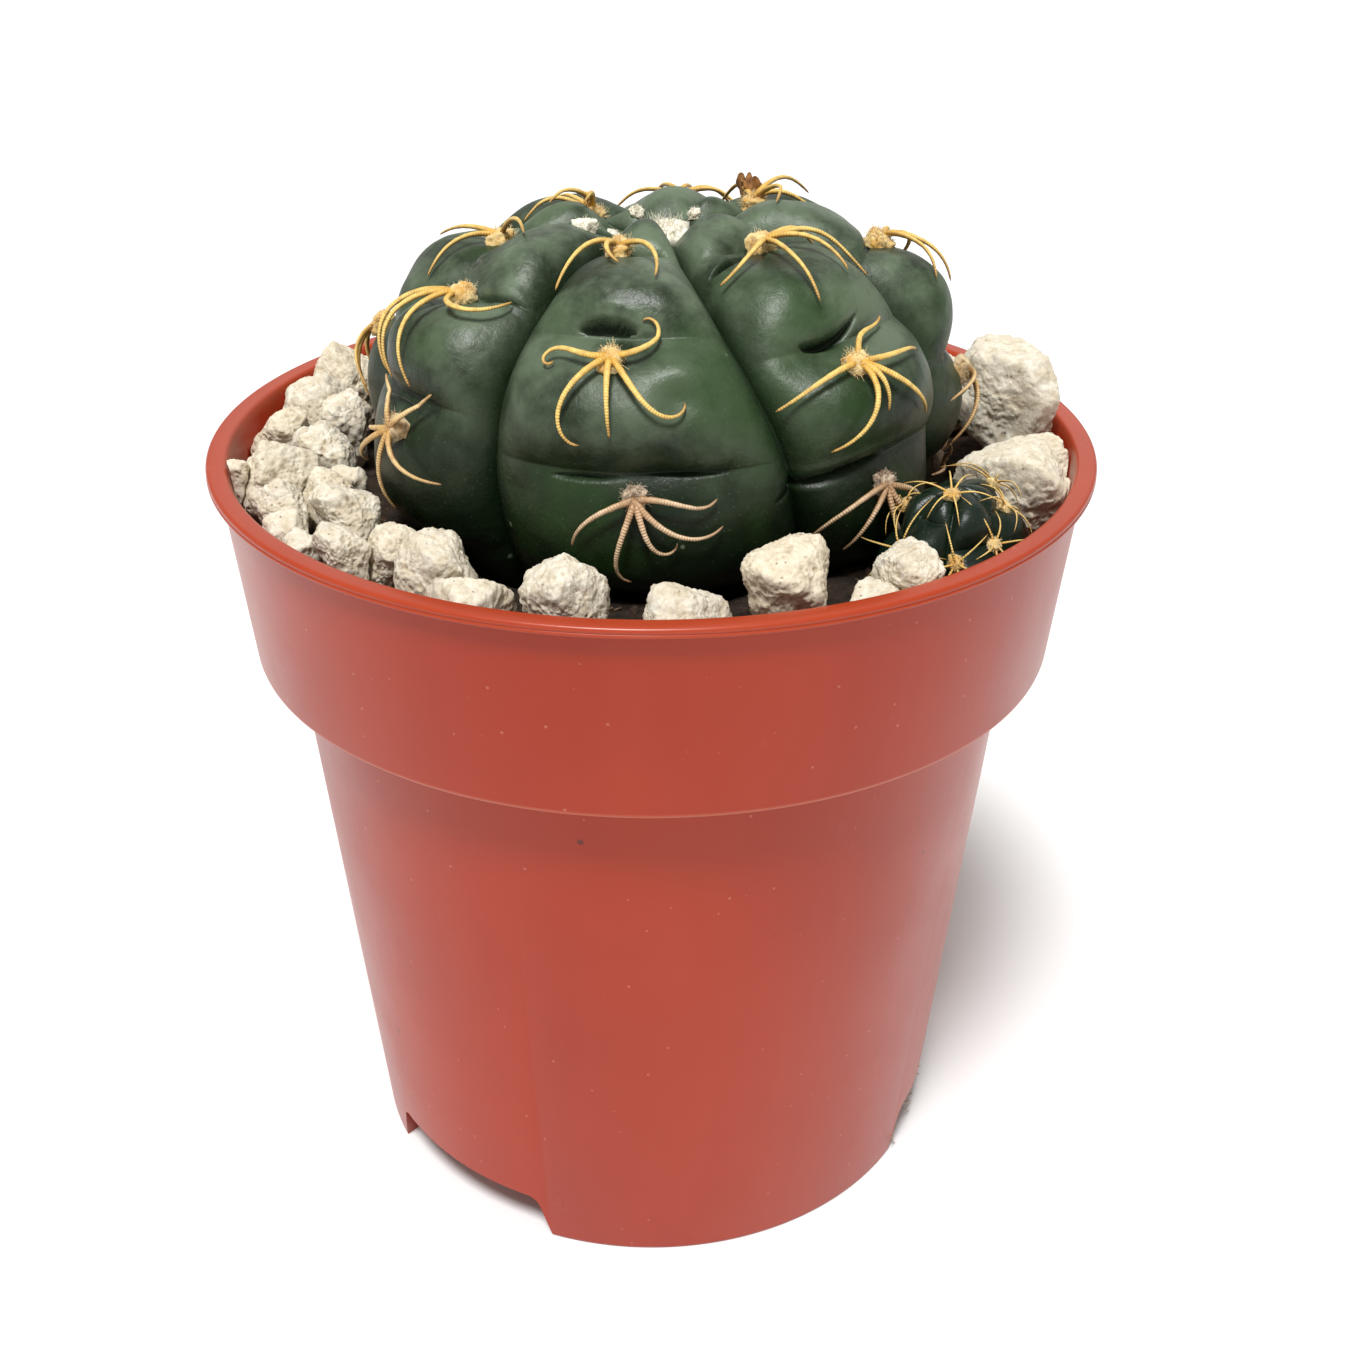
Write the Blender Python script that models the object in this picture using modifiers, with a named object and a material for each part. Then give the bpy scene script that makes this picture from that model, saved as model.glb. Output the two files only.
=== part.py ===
"""A round ribbed cactus with spider-like spines, growing in a thin plastic pot topped with pumice.

Run with: blender --background --python part.py
Metres, +Z up. The pot stands on Z = 0 and is centred on the Z axis; the front is -Y. An azimuth is
measured in degrees from the front towards +X, and a polar angle down from the plant's apex.
"""

import math
import random

import bmesh
import bpy
from mathutils import Matrix, Vector
from mathutils.bvhtree import BVHTree

MM = 0.001
GAP = 0.35 * MM  # left between neighbouring solids

# Pot: one injection-moulded shell, radii measured to its outer side
RIM_RADIUS = 42.5 * MM
POT_HEIGHT = 78.0 * MM
LIP_HEIGHT = 0.95 * MM
LIP_OVERHANG = 1.05 * MM
COLLAR_BOTTOM_RADIUS = 39.7 * MM
COLLAR_BOTTOM = 58.8 * MM
WALL_TOP_RADIUS = 36.07 * MM
BASE_RADIUS = 30.8 * MM
WALL = 1.0 * MM
FLOOR_UNDERSIDE = 5.6 * MM
FOOT_WIDTH = 1.6 * MM
NOTCH_CENTRES = (-41.5, 78.5, 198.5)
NOTCH_SPAN = 44.0
NOTCH_HEIGHT = 5.2 * MM
NOTCH_TAPER = 0.87
DRAIN_RADIUS = 2.6 * MM
DRAIN_CIRCLE = 17.0 * MM
DRAIN_COUNT = 6
POT_STEPS = 64

# Potting soil
SOIL_TOP = 72.0 * MM
SOIL_STEPS = 36

# Cactus body: a superellipse of revolution with a dimpled apex, tapering into a root
BODY_CENTRE = Vector((1.0 * MM, 0.0, 82.0 * MM))
BODY_RADIUS = 27.9 * MM
DOME_HEIGHT = 18.3 * MM
BOWL_DEPTH = 20.0 * MM
BODY_POWER = 2.3
DIMPLE_DEPTH = 3.8 * MM
DIMPLE_RADIUS = 6.0 * MM
NECK_POLAR = 150.0
ROOT_LENGTH = 26.0 * MM
GROOVE_DEPTH = 4.2 * MM
TUBERCLE_HEIGHT = 2.4 * MM
TUBERCLE_LEVEL = 0.7
FOLD_LEADS = (3.0, 8.0, 4.5)  # degrees from each fold down to the areole below it
BODY_SEGMENTS = 64
BODY_RINGS = 26

# Woolly pads and spines
PAD_RADIUS = 1.35 * MM
PAD_THICKNESS = 0.7 * MM
SPINE_RADIUS = 0.36 * MM
SPINE_TIP = 0.3
SPINE_POINTS = 5
SPINE_LIFT = 1.0 * MM
SPINE_ARCH = 0.8 * MM
SPINE_SLOPE = 0.35

# A spine is (direction, length in mm, bend): 0 degrees points down the rib and 90 to its right.
SPREAD = ((-100, 7.5, 35), (-55, 8, 40), (-12, 7, 12), (35, 8, -30), (85, 7.5, -35))
LOWEST = ((-130, 4.5, -10), (-100, 5, 15), (100, 5, -15), (135, 4.5, 10))

# Each rib: left groove's azimuth, the groove's lean, polar angle of its young woolly tip, then its
# areoles as (azimuth, polar angle, spines).
RIBS = {
    "a": (-121, 0.0, 11, (
        (-94, 31, ((-46, 8.5, 90), (-75, 9, 37), (133, 10, -70))),
        (-100, 77, ((-70, 8, 35), (-30, 8, 30), (10, 7, 25), (60, 7, -20))),
        (-99, 106, LOWEST),
    )),
    "b": (-80, 0.0, 14, (
        (-56, 47.5, ((24, 8.5, 165), (-58, 4, -16), (-79, 11, 120), (-25, 10, 65))),
        (-55, 84.5, ((-169, 5.5, 70), (-77, 4.5, 5), (132, 5.5, 6), (30, 7, 55), (-25, 9, 6), (-54, 8, 6))),
    )),
    "c": (-36.5, 0.0, 9, (
        (-19, 22, ((-52, 7.5, 58), (-23, 5, 85), (74, 8, -86))),
        (-10.5, 56.5, ((-112, 5.5, 60), (-81, 10, 130), (-9, 7, 20), (9, 8.5, 99), (75, 7, 150))),
        (-5, 89, ((-78, 8, 50), (-39, 8.5, 62), (-15, 7, 110), (10, 9, 110), (70, 6.5, 34))),
    )),
    "d": (26, 0.22, 10, (
        (44, 23.5, ((-46, 8.5, -23), (-29, 10, 36), (30, 8, -37), (72, 10.5, -80), (80, 6.5, -21))),
        (39, 63, ((-83, 9, 21), (9, 8.5, -80), (23, 4.5, -14), (43, 8.5, 9), (90, 8.5, -10), (150, 7, -60))),
        (43.5, 92.5, ((-80, 8.5, 25), (-18, 7, -50), (12, 3.5, 20), (50, 3, 15), (88, 5, -18))),
    )),
    "e": (71, 0.0, 13, (
        (93, 43, ((-60, 7, 30), (-20, 7, 20), (30, 8, 40), (80, 9, -60))),
        (88, 84.5, ((-100, 6, 40), (-45, 7, 30), (0, 8, -20), (60, 6, -40))),
        (88, 107, LOWEST),
    )),
    "f": (111, 0.0, 9, (
        (122, 18.5, ((-75, 7, -30), (-30, 8, 40), (20, 8, -20), (80, 8, -40))),
        (130, 62, SPREAD),
        (130, 91, SPREAD),
    )),
    "g": (153, 0.0, 11, (
        (174, 36, SPREAD),
        (175, 74, SPREAD),
    )),
    "h": (197, 0.0, 9, (
        (234, 14, ((-100, 7, 35), (-50, 8, 40), (20, 7, -20), (70, 5, -20), (120, 4, -40))),
        (219, 62, SPREAD),
        (219, 91, SPREAD),
    )),
}

FLOWER_PLACE = (133.0, 22.0)  # azimuth and polar angle of the dried flower

# Offset: a young plant squeezed between its mother and the pot
PUP_AZIMUTH = 52.0
PUP_DISTANCE = 34.0 * MM
PUP_HEIGHT = 73.8 * MM
PUP_RADII = (7.0 * MM, 5.3 * MM, 6.2 * MM)
PUP_RIBS = 7
PUP_GROOVE = 0.12
PUP_AREOLES = ((-20, 17), (40, 60), (-45, 60))

# Pumice on the soil: (azimuth, distance from the pot's axis, height, half size), the last three in mm
STONES = (
    (-117, 35.5, 77.4, 4.0), (-105.4, 34.7, 76.2, 4.3), (-94.6, 37.0, 76.4, 2.9), (-100, 31.5, 77.0, 2.6),
    (-84, 31.4, 77.0, 2.7), (-77, 35.8, 76.3, 4.1), (-69, 32.0, 75.9, 2.5), (-66.5, 36.9, 75.9, 2.8),
    (-57, 32.6, 76.6, 3.2), (-47, 36.2, 76.3, 2.7), (-44.5, 32.0, 75.4, 2.9), (-34, 32.6, 75.3, 3.9),
    (-24.5, 36.2, 74.4, 3.9), (-12.5, 33.6, 75.5, 4.0), (4.2, 35.2, 74.4, 4.2), (18.2, 34.2, 77.0, 3.9),
    (34.7, 37.2, 76.6, 3.0), (71, 35.2, 76.0, 5.2), (98.4, 35.0, 79.6, 5.3), (86, 38.0, 75.6, 2.8),
    (120, 35.0, 76.6, 4.5), (134, 34.4, 76.0, 4.6), (148, 34.6, 76.2, 4.4), (163, 34.2, 76.0, 4.7),
    (178, 34.4, 76.4, 4.5), (193, 34.2, 76.0, 4.6), (209, 34.6, 76.2, 4.6), (226, 34.6, 76.6, 4.5),
)
STONE_ROUGHNESS = 0.14
SPINE_ROOM = 1.9 * MM  # left between the stones and the body, where the lowest spines lie
STONE_SQUASH = (1.1, 1.0, 0.92)


def empty_scene():
    for obj in list(bpy.data.objects):
        bpy.data.objects.remove(obj, do_unlink=True)


def new_collection(name):
    collection = bpy.data.collections.new(name)
    bpy.context.scene.collection.children.link(collection)
    return collection


def new_material(name, colour, roughness):
    material = bpy.data.materials.new(name)
    material.use_nodes = True
    shader = material.node_tree.nodes["Principled BSDF"]
    shader.inputs["Base Color"].default_value = (*colour, 1.0)
    shader.inputs["Roughness"].default_value = roughness
    shader.inputs["Metallic"].default_value = 0.0
    return material


def new_object(name, mesh, collection, material, smooth_below=60.0):
    obj = bpy.data.objects.new(name, mesh)
    collection.objects.link(obj)
    mesh.materials.append(material)
    mesh.shade_smooth()
    mesh.set_sharp_from_angle(angle=math.radians(smooth_below))
    return obj


def mesh_from(bm, name):
    mesh = bpy.data.meshes.new(name)
    bm.to_mesh(mesh)
    bm.free()
    return mesh


def hide_helper(obj):
    obj.hide_render = True
    obj.display_type = "WIRE"


def add_boolean(obj, other, operation):
    modifier = obj.modifiers.new(f"{operation.lower()}_{other.name}", "BOOLEAN")
    modifier.operation = operation
    modifier.solver = "EXACT"
    modifier.object = other


def turned(name, profile, steps, collection, material):
    """A solid of revolution about Z, from a profile of (radius, height) that ends on the axis."""
    bm = bmesh.new()
    points = [bm.verts.new((radius, 0.0, height)) for radius, height in profile]
    for first, second in zip(points, points[1:]):
        bm.edges.new((first, second))
    obj = new_object(name, mesh_from(bm, name), collection, material)
    screw = obj.modifiers.new("turn", "SCREW")
    screw.axis = "Z"
    screw.steps = steps
    screw.render_steps = steps
    screw.use_merge_vertices = True
    screw.merge_threshold = 0.00001
    return obj


def direction_of(azimuth):
    """The level unit vector that points along an azimuth."""
    angle = math.radians(azimuth)
    return Vector((math.sin(angle), -math.cos(angle), 0.0))


# Pot


def slope_between(height, low, high):
    """The radius at a height on the straight line between two (radius, height) points."""
    share = (height - low[1]) / (high[1] - low[1])
    return low[0] + share * (high[0] - low[0])


def inner_radius(height):
    """The radius of the pot's inner side, which follows its outer side one wall further in."""
    if height < COLLAR_BOTTOM + WALL:
        outer = slope_between(height, (BASE_RADIUS, 0.0), (WALL_TOP_RADIUS, COLLAR_BOTTOM))
    else:
        top = (RIM_RADIUS - LIP_OVERHANG, POT_HEIGHT)
        outer = slope_between(height, (COLLAR_BOTTOM_RADIUS, COLLAR_BOTTOM), top)
    return outer - WALL


def pot_profile():
    floor_top = FLOOR_UNDERSIDE + WALL
    ledge = COLLAR_BOTTOM + WALL
    lip_bottom = POT_HEIGHT - LIP_HEIGHT
    collar_top = RIM_RADIUS - LIP_OVERHANG
    lip_middle = collar_top - 0.5 * WALL + 0.5 * LIP_OVERHANG
    lip_half = RIM_RADIUS - lip_middle
    profile = [
        (0.0, floor_top),
        (inner_radius(floor_top), floor_top),
        (inner_radius(ledge - 0.0001 * MM), ledge),
        (inner_radius(ledge), ledge),
        (inner_radius(lip_bottom), lip_bottom),
    ]
    for angle in range(150, -1, -30):
        turn = math.radians(angle)
        radius = lip_middle + lip_half * math.cos(turn)
        profile.append((radius, POT_HEIGHT - 0.5 * LIP_HEIGHT * (1.0 - math.sin(turn))))
    profile += [
        (RIM_RADIUS - 0.1 * MM, lip_bottom),
        (collar_top, lip_bottom),
        (COLLAR_BOTTOM_RADIUS, COLLAR_BOTTOM),
        (WALL_TOP_RADIUS, COLLAR_BOTTOM),
        (BASE_RADIUS, 0.0),
        (BASE_RADIUS - FOOT_WIDTH, 0.0),
        (BASE_RADIUS - FOOT_WIDTH, FLOOR_UNDERSIDE),
        (0.0, FLOOR_UNDERSIDE),
    ]
    return profile


def notch_cutter(azimuth, helpers, material):
    """A block that tapers upwards and opens one arch between two of the pot's feet."""
    depth = 6.0 * MM
    below = 1.0 * MM
    width = 2.0 * BASE_RADIUS * math.sin(math.radians(NOTCH_SPAN / 2.0))
    bm = bmesh.new()
    bmesh.ops.create_cube(bm, size=1.0)
    for vert in bm.verts:
        is_top = vert.co.z > 0.0
        vert.co.x *= width * (NOTCH_TAPER if is_top else 1.0)
        vert.co.y *= depth
        vert.co.z = NOTCH_HEIGHT if is_top else -below
    cutter = new_object(f"cut_notch_{azimuth:.0f}", mesh_from(bm, "notch"), helpers, material)
    cutter.location = direction_of(azimuth) * (BASE_RADIUS - WALL)
    cutter.rotation_euler.z = math.radians(azimuth)
    hide_helper(cutter)
    return cutter


def drain_cutter(index, helpers, material):
    bm = bmesh.new()
    bmesh.ops.create_cone(
        bm, cap_ends=True, segments=16, radius1=DRAIN_RADIUS, radius2=DRAIN_RADIUS, depth=4.0 * WALL
    )
    cutter = new_object(f"cut_drain_{index}", mesh_from(bm, "drain"), helpers, material)
    cutter.location = direction_of(360.0 * index / DRAIN_COUNT) * DRAIN_CIRCLE
    cutter.location.z = FLOOR_UNDERSIDE
    hide_helper(cutter)
    return cutter


def make_pot(parts, helpers):
    plastic = new_material("terracotta_plastic", (0.50, 0.088, 0.044), 0.42)
    pot = turned("pot", pot_profile(), POT_STEPS, parts, plastic)
    cutters = [notch_cutter(azimuth, helpers, plastic) for azimuth in NOTCH_CENTRES]
    cutters += [drain_cutter(index, helpers, plastic) for index in range(DRAIN_COUNT)]
    for cutter in cutters:
        add_boolean(pot, cutter, "DIFFERENCE")
    return pot


# Cactus body


def profile_point(polar):
    """Radius and height, from the body's centre, of the crest line at a polar angle."""
    if polar > NECK_POLAR:
        neck_radius, neck_height = profile_point(NECK_POLAR)
        along = (polar - NECK_POLAR) / (180.0 - NECK_POLAR)
        return neck_radius * (1.0 - along) ** 1.6, neck_height - ROOT_LENGTH * along**1.2
    angle = math.radians(max(polar, 0.0))
    radius = BODY_RADIUS * math.sin(angle) ** (2.0 / BODY_POWER)
    rise = abs(math.cos(angle)) ** (2.0 / BODY_POWER)
    if polar > 90.0:
        return radius, -BOWL_DEPTH * rise
    return radius, DOME_HEIGHT * rise - DIMPLE_DEPTH * math.exp(-((radius / DIMPLE_RADIUS) ** 2))


def profile_frame(polar):
    """The crest line's radius and height, its outward normal as (radial, up), and its arc per degree."""
    step = 0.5
    radius, height = profile_point(polar)
    before = profile_point(max(polar - step, 0.0))
    after = profile_point(min(polar + step, 180.0))
    along_radius = after[0] - before[0]
    along_height = after[1] - before[1]
    length = math.hypot(along_radius, along_height)
    normal = (-along_height / length, along_radius / length)
    return radius, height, normal, length / (2.0 * step)


def rib_place(azimuth, polar):
    """The rib at a place, and how far across it, from -1 at its left groove to 1 at its right."""
    names = list(RIBS)
    for index, name in enumerate(names):
        right_name = names[(index + 1) % len(names)]
        left = RIBS[name][0] + RIBS[name][1] * (polar - 90.0)
        right = RIBS[right_name][0] + RIBS[right_name][1] * (polar - 90.0)
        width = (right - left) % 360.0
        into = (azimuth - left) % 360.0
        if into < width:
            return name, 2.0 * into / width - 1.0
    return names[0], -1.0


def tubercle_height(name, polar):
    """The chin below each areole, from 0 at the crease above it, to 1, and 0 at the next crease."""
    _, _, young, areoles = RIBS[name]
    creases = [max(young - 8.0, 1.0)]
    creases += [areole[1] - lead for areole, lead in zip(areoles, FOLD_LEADS)]
    creases.append(areoles[-1][1] + 30.0)
    for before, after in zip(creases, creases[1:]):
        if before <= polar < after:
            along = (polar - before) / (after - before)
            return along**0.8 * (1.0 - along) ** 0.7 / 0.354
    return 0.0


def body_point(azimuth, polar):
    """A point of the body's skin, with its ribs and tubercles."""
    radius, height, normal, _ = profile_frame(polar)
    name, across = rib_place(azimuth, polar)
    fade = 1.0 if polar < 115.0 else max(0.0, 1.0 - (polar - 115.0) / 35.0)
    depth = min(GROOVE_DEPTH, 0.3 * radius) * (0.3 + 0.7 * fade)
    pillow = (1.0 - abs(across) ** 3.0) ** 0.58
    chin = tubercle_height(name, polar) - TUBERCLE_LEVEL
    chin_scale = TUBERCLE_HEIGHT * min(1.0, radius / (7.0 * MM)) * (1.0 - across**2) ** 1.5 * fade
    out = chin * chin_scale - depth * (1.0 - pillow)
    if polar > NECK_POLAR:
        out = 0.0
    radius = max(radius + out * normal[0], 0.0)
    return BODY_CENTRE + direction_of(azimuth) * radius + Vector((0.0, 0.0, height + out * normal[1]))


def make_body(parts):
    skin = new_material("green_skin", (0.045, 0.088, 0.05), 0.45)
    bm = bmesh.new()
    bmesh.ops.create_uvsphere(bm, u_segments=BODY_SEGMENTS, v_segments=BODY_RINGS, radius=1.0)
    for vert in bm.verts:
        polar = math.degrees(math.acos(max(-1.0, min(1.0, vert.co.z))))
        azimuth = math.degrees(math.atan2(vert.co.x, -vert.co.y))
        vert.co = body_point(azimuth, polar)
    return new_object("cactus_body", mesh_from(bm, "cactus_body"), parts, skin)


# Areoles: a woolly pad with its spines


def surface_tree(obj):
    bm = bmesh.new()
    bm.from_mesh(obj.data)
    tree = BVHTree.FromBMesh(bm)
    bm.free()
    return tree


def above_skin(tree, azimuth, polar):
    """A point over the skin on the crest line's envelope, its normal, and the drop to the skin."""
    start_height = 6.0 * MM
    radius, height, normal, _ = profile_frame(polar)
    outward = direction_of(azimuth) * normal[0] + Vector((0.0, 0.0, normal[1]))
    foot = BODY_CENTRE + direction_of(azimuth) * radius + Vector((0.0, 0.0, height))
    hit = tree.ray_cast(foot + outward * start_height, -outward)
    drop = hit[3] if hit[0] is not None else start_height
    return foot + outward * start_height, outward, drop


def spine_path(tree, azimuth, polar, spine):
    """Points along a spine that leaves its areole, arches over the skin and comes down to it."""
    direction, length, bend = spine
    step = length * MM / (SPINE_POINTS - 1)
    places = []
    for index in range(SPINE_POINTS):
        places.append(above_skin(tree, azimuth, polar))
        heading = math.radians(direction + bend * (index + 0.5) / (SPINE_POINTS - 1))
        radius, _, _, arc = profile_frame(polar)
        polar += step * math.cos(heading) / arc
        azimuth += math.degrees(step * math.sin(heading) / max(radius, 2.0 * MM))
    points = []
    for index, (start, outward, _) in enumerate(places):
        drop = min(other[2] + SPINE_SLOPE * step * abs(index - k) for k, other in enumerate(places))
        arch = SPINE_ARCH * math.sin(math.pi * index / (SPINE_POINTS - 1))
        points.append(start - outward * (drop - SPINE_LIFT - arch))
    return points


def mesh_of_curve(name, points, helpers, material):
    """A tapering tube along the points, as a closed mesh."""
    curve = bpy.data.curves.new(name, "CURVE")
    curve.dimensions = "3D"
    curve.bevel_depth = SPINE_RADIUS
    curve.bevel_resolution = 0
    curve.use_fill_caps = True
    spline = curve.splines.new("POLY")
    spline.points.add(len(points) - 1)
    for index, point in enumerate(points):
        along = index / (len(points) - 1)
        spline.points[index].co = (*point, 1.0)
        spline.points[index].radius = 1.0 - (1.0 - SPINE_TIP) * along**1.5
    guide = bpy.data.objects.new(f"guide_{name}", curve)
    helpers.objects.link(guide)
    bpy.context.view_layer.update()
    graph = bpy.context.evaluated_depsgraph_get()
    mesh = bpy.data.meshes.new_from_object(guide.evaluated_get(graph))
    bm = bmesh.new()
    bm.from_mesh(mesh)
    bmesh.ops.remove_doubles(bm, verts=bm.verts, dist=0.001 * MM)
    bmesh.ops.recalc_face_normals(bm, faces=bm.faces)
    bm.to_mesh(mesh)
    bm.free()
    tube = new_object(name, mesh, helpers, material)
    tube.matrix_world = guide.matrix_world
    bpy.data.objects.remove(guide, do_unlink=True)
    hide_helper(tube)
    return tube


def pad_mesh(name, radii, rotation, centre, segments=8, rings=5):
    bm = bmesh.new()
    bmesh.ops.create_uvsphere(bm, u_segments=segments, v_segments=rings, radius=1.0)
    place = Matrix.Translation(centre) @ rotation.to_matrix().to_4x4() @ Matrix.Diagonal((*radii, 1.0))
    bmesh.ops.transform(bm, matrix=place, verts=bm.verts)
    return mesh_from(bm, name)


def make_areole(name, tree, azimuth, polar, spines, parts, helpers, material):
    start, outward, drop = above_skin(tree, azimuth, polar)
    centre = start - outward * (drop - GAP - PAD_THICKNESS - 0.15 * MM)
    radii = (PAD_RADIUS, PAD_RADIUS, PAD_THICKNESS)
    pad = new_object(name, pad_mesh(name, radii, outward.to_track_quat("Z", "Y"), centre), parts, material)
    for number, spine in enumerate(spines):
        points = spine_path(tree, azimuth, polar, spine)
        points[0] = centre + 0.2 * (points[1] - centre)
        tube = mesh_of_curve(f"{name}_spine_{number}", points, helpers, material)
        add_boolean(pad, tube, "UNION")
    return pad


def make_areoles(tree, parts, helpers):
    golden = new_material("golden_spine", (0.70, 0.50, 0.16), 0.55)
    for rib, (_, _, _, areoles) in RIBS.items():
        for row, (azimuth, polar, spines) in enumerate(areoles, 1):
            make_areole(f"spines_{rib}{row}", tree, azimuth, polar, spines, parts, helpers, golden)


def make_apex_wool(tree, parts):
    wool = new_material("apex_wool", (0.82, 0.78, 0.62), 0.95)
    top = BODY_CENTRE + Vector((0.0, 0.0, 2.0 * DOME_HEIGHT))
    apex = tree.ray_cast(top, Vector((0.0, 0.0, -1.0)))[0]
    radii = (2.3 * MM, 2.3 * MM, 1.0 * MM)
    centre = apex + Vector((0.0, 0.0, radii[2] + GAP))
    upright = Vector((0.0, 0.0, 1.0)).to_track_quat("Z", "Y")
    return new_object("apex_wool", pad_mesh("apex_wool", radii, upright, centre, 12, 6), parts, wool)


def make_dried_flower(tree, parts):
    """The shrivelled remains of a bloom, standing on a top areole of rib f."""
    straw = new_material("dried_flower", (0.20, 0.085, 0.03), 0.85)
    start, outward, drop = above_skin(tree, *FLOWER_PLACE)
    height = 2.2 * MM
    generator = random.Random(11)
    bm = bmesh.new()
    bmesh.ops.create_cone(bm, cap_ends=True, segments=9, radius1=0.8 * MM, radius2=1.1 * MM, depth=height)
    for vert in bm.verts:
        vert.co *= generator.uniform(0.8, 1.1)
    flower = new_object("dried_flower", mesh_from(bm, "dried_flower"), parts, straw)
    flower.location = start - outward * (drop - 0.5 * height - 0.6 * MM)
    flower.rotation_euler = outward.to_track_quat("Z", "Y").to_euler()
    return flower


# Offset


def pup_matrix():
    """Places a unit sphere as the offset: its long side lies along the pot's wall."""
    centre = direction_of(PUP_AZIMUTH) * PUP_DISTANCE + Vector((0.0, 0.0, PUP_HEIGHT))
    turn = Matrix.Rotation(math.radians(PUP_AZIMUTH), 4, "Z")
    return Matrix.Translation(centre) @ turn @ Matrix.Diagonal((*PUP_RADII, 1.0))


def pup_mesh(name, segments, rings, groove, swell=1.0):
    bm = bmesh.new()
    bmesh.ops.create_uvsphere(bm, u_segments=segments, v_segments=rings, radius=1.0)
    for vert in bm.verts:
        level = math.hypot(vert.co.x, vert.co.y)
        wave = abs(math.sin(0.5 * PUP_RIBS * math.atan2(vert.co.y, vert.co.x)))
        vert.co *= swell * (1.0 - groove * level * (1.0 - wave**0.6))
    bmesh.ops.transform(bm, matrix=pup_matrix(), verts=bm.verts)
    return mesh_from(bm, name)


def make_pup(parts, helpers):
    skin = bpy.data.materials["green_skin"]
    golden = bpy.data.materials["golden_spine"]
    pup = new_object("offset_pup", pup_mesh("offset_pup", 28, 11, PUP_GROOVE), parts, skin)
    bpy.context.view_layer.update()
    tree = surface_tree(pup)
    centre = pup_matrix().translation
    for number, (azimuth, polar) in enumerate(PUP_AREOLES, 1):
        tilt = math.radians(polar)
        outward = direction_of(azimuth) * math.sin(tilt) + Vector((0.0, 0.0, math.cos(tilt)))
        far = centre + outward * 20.0 * MM
        foot = tree.ray_cast(far, -outward)[0]
        name = f"pup_spines_{number}"
        radii = (0.75 * MM, 0.75 * MM, 0.45 * MM)
        rotation = outward.to_track_quat("Z", "Y")
        pad_centre = foot + outward * (radii[2] + GAP)
        pad = new_object(name, pad_mesh(name, radii, rotation, pad_centre, 6, 4), parts, golden)
        for index in range(4):
            turn = math.radians(45.0 + 90.0 * index)
            side = rotation @ Vector((math.cos(turn), math.sin(turn), 0.0))
            points = [pad_centre + side * reach * MM + outward * rise * MM
                      for reach, rise in ((0.2, 0.0), (0.9, 0.35), (1.6, 0.4), (2.3, 0.2))]
            add_boolean(pad, mesh_of_curve(f"{name}_spine_{index}", points, helpers, golden), "UNION")
    return pup


# Potting soil


def soil_profile():
    """From the taproot's tip up the hollow that the body sits in, across the top and down the wall."""
    hollow_gap = 1.9 * MM
    clearance = BODY_CENTRE.x + hollow_gap
    tip_radius, tip_height = profile_point(180.0)
    profile = [(tip_radius, BODY_CENTRE.z + tip_height - hollow_gap)]
    for polar in range(174, 119, -6):
        radius, height = profile_point(polar)
        if BODY_CENTRE.z + height < SOIL_TOP - 1.0 * MM:
            profile.append((radius + clearance, BODY_CENTRE.z + height))
    crown = profile[-1][0] + 1.4 * MM
    ledge = COLLAR_BOTTOM + WALL + GAP
    floor = FLOOR_UNDERSIDE + WALL + GAP
    profile += [
        (crown, SOIL_TOP),
        (0.5 * (crown + inner_radius(SOIL_TOP)), SOIL_TOP + 0.2 * MM),
        (inner_radius(SOIL_TOP) - GAP, SOIL_TOP - 0.2 * MM),
        (inner_radius(ledge) - GAP, ledge),
        (inner_radius(COLLAR_BOTTOM) - GAP, ledge),
        (inner_radius(floor) - GAP, floor),
        (0.0, floor),
    ]
    return profile


def make_soil(parts, helpers):
    earth = new_material("potting_soil", (0.030, 0.020, 0.014), 0.95)
    soil = turned("potting_soil", soil_profile(), SOIL_STEPS, parts, earth)
    hollow = new_object("cut_pup", pup_mesh("cut_pup", 20, 10, 0.0, 1.09), helpers, earth)
    hide_helper(hollow)
    add_boolean(soil, hollow, "DIFFERENCE")
    return soil


# Pumice


def stone_centre(stone):
    azimuth, distance, height, _ = stone
    return direction_of(azimuth) * distance * MM + Vector((0.0, 0.0, height * MM))


def body_plane(centre):
    """The plane (normal, offset) that keeps a stone off the body's widest line nearest to it."""
    bulge = (1.0 - TUBERCLE_LEVEL) * TUBERCLE_HEIGHT
    aside = Vector((centre.x - BODY_CENTRE.x, centre.y - BODY_CENTRE.y, 0.0))
    outward = aside.normalized()
    nearest = None
    for polar in range(60, 125, 5):
        radius, height, normal, _ = profile_frame(polar)
        foot = BODY_CENTRE + outward * radius + Vector((0.0, 0.0, height))
        reach = (centre - foot).length
        if nearest is None or reach < nearest[0]:
            nearest = (reach, foot, outward * normal[0] + Vector((0.0, 0.0, normal[1])))
    _, foot, normal = nearest
    return -normal, -normal.dot(foot) - bulge - SPINE_ROOM


def pup_plane(centre):
    """The plane that keeps a stone off the offset, touching its ellipsoid between the two centres."""
    place = pup_matrix()
    local = (place.inverted() @ centre).normalized()
    foot = place @ (local * 1.03)
    normal = (place.inverted().transposed().to_3x3() @ local).normalized()
    return -normal, -normal.dot(foot) - GAP


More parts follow.
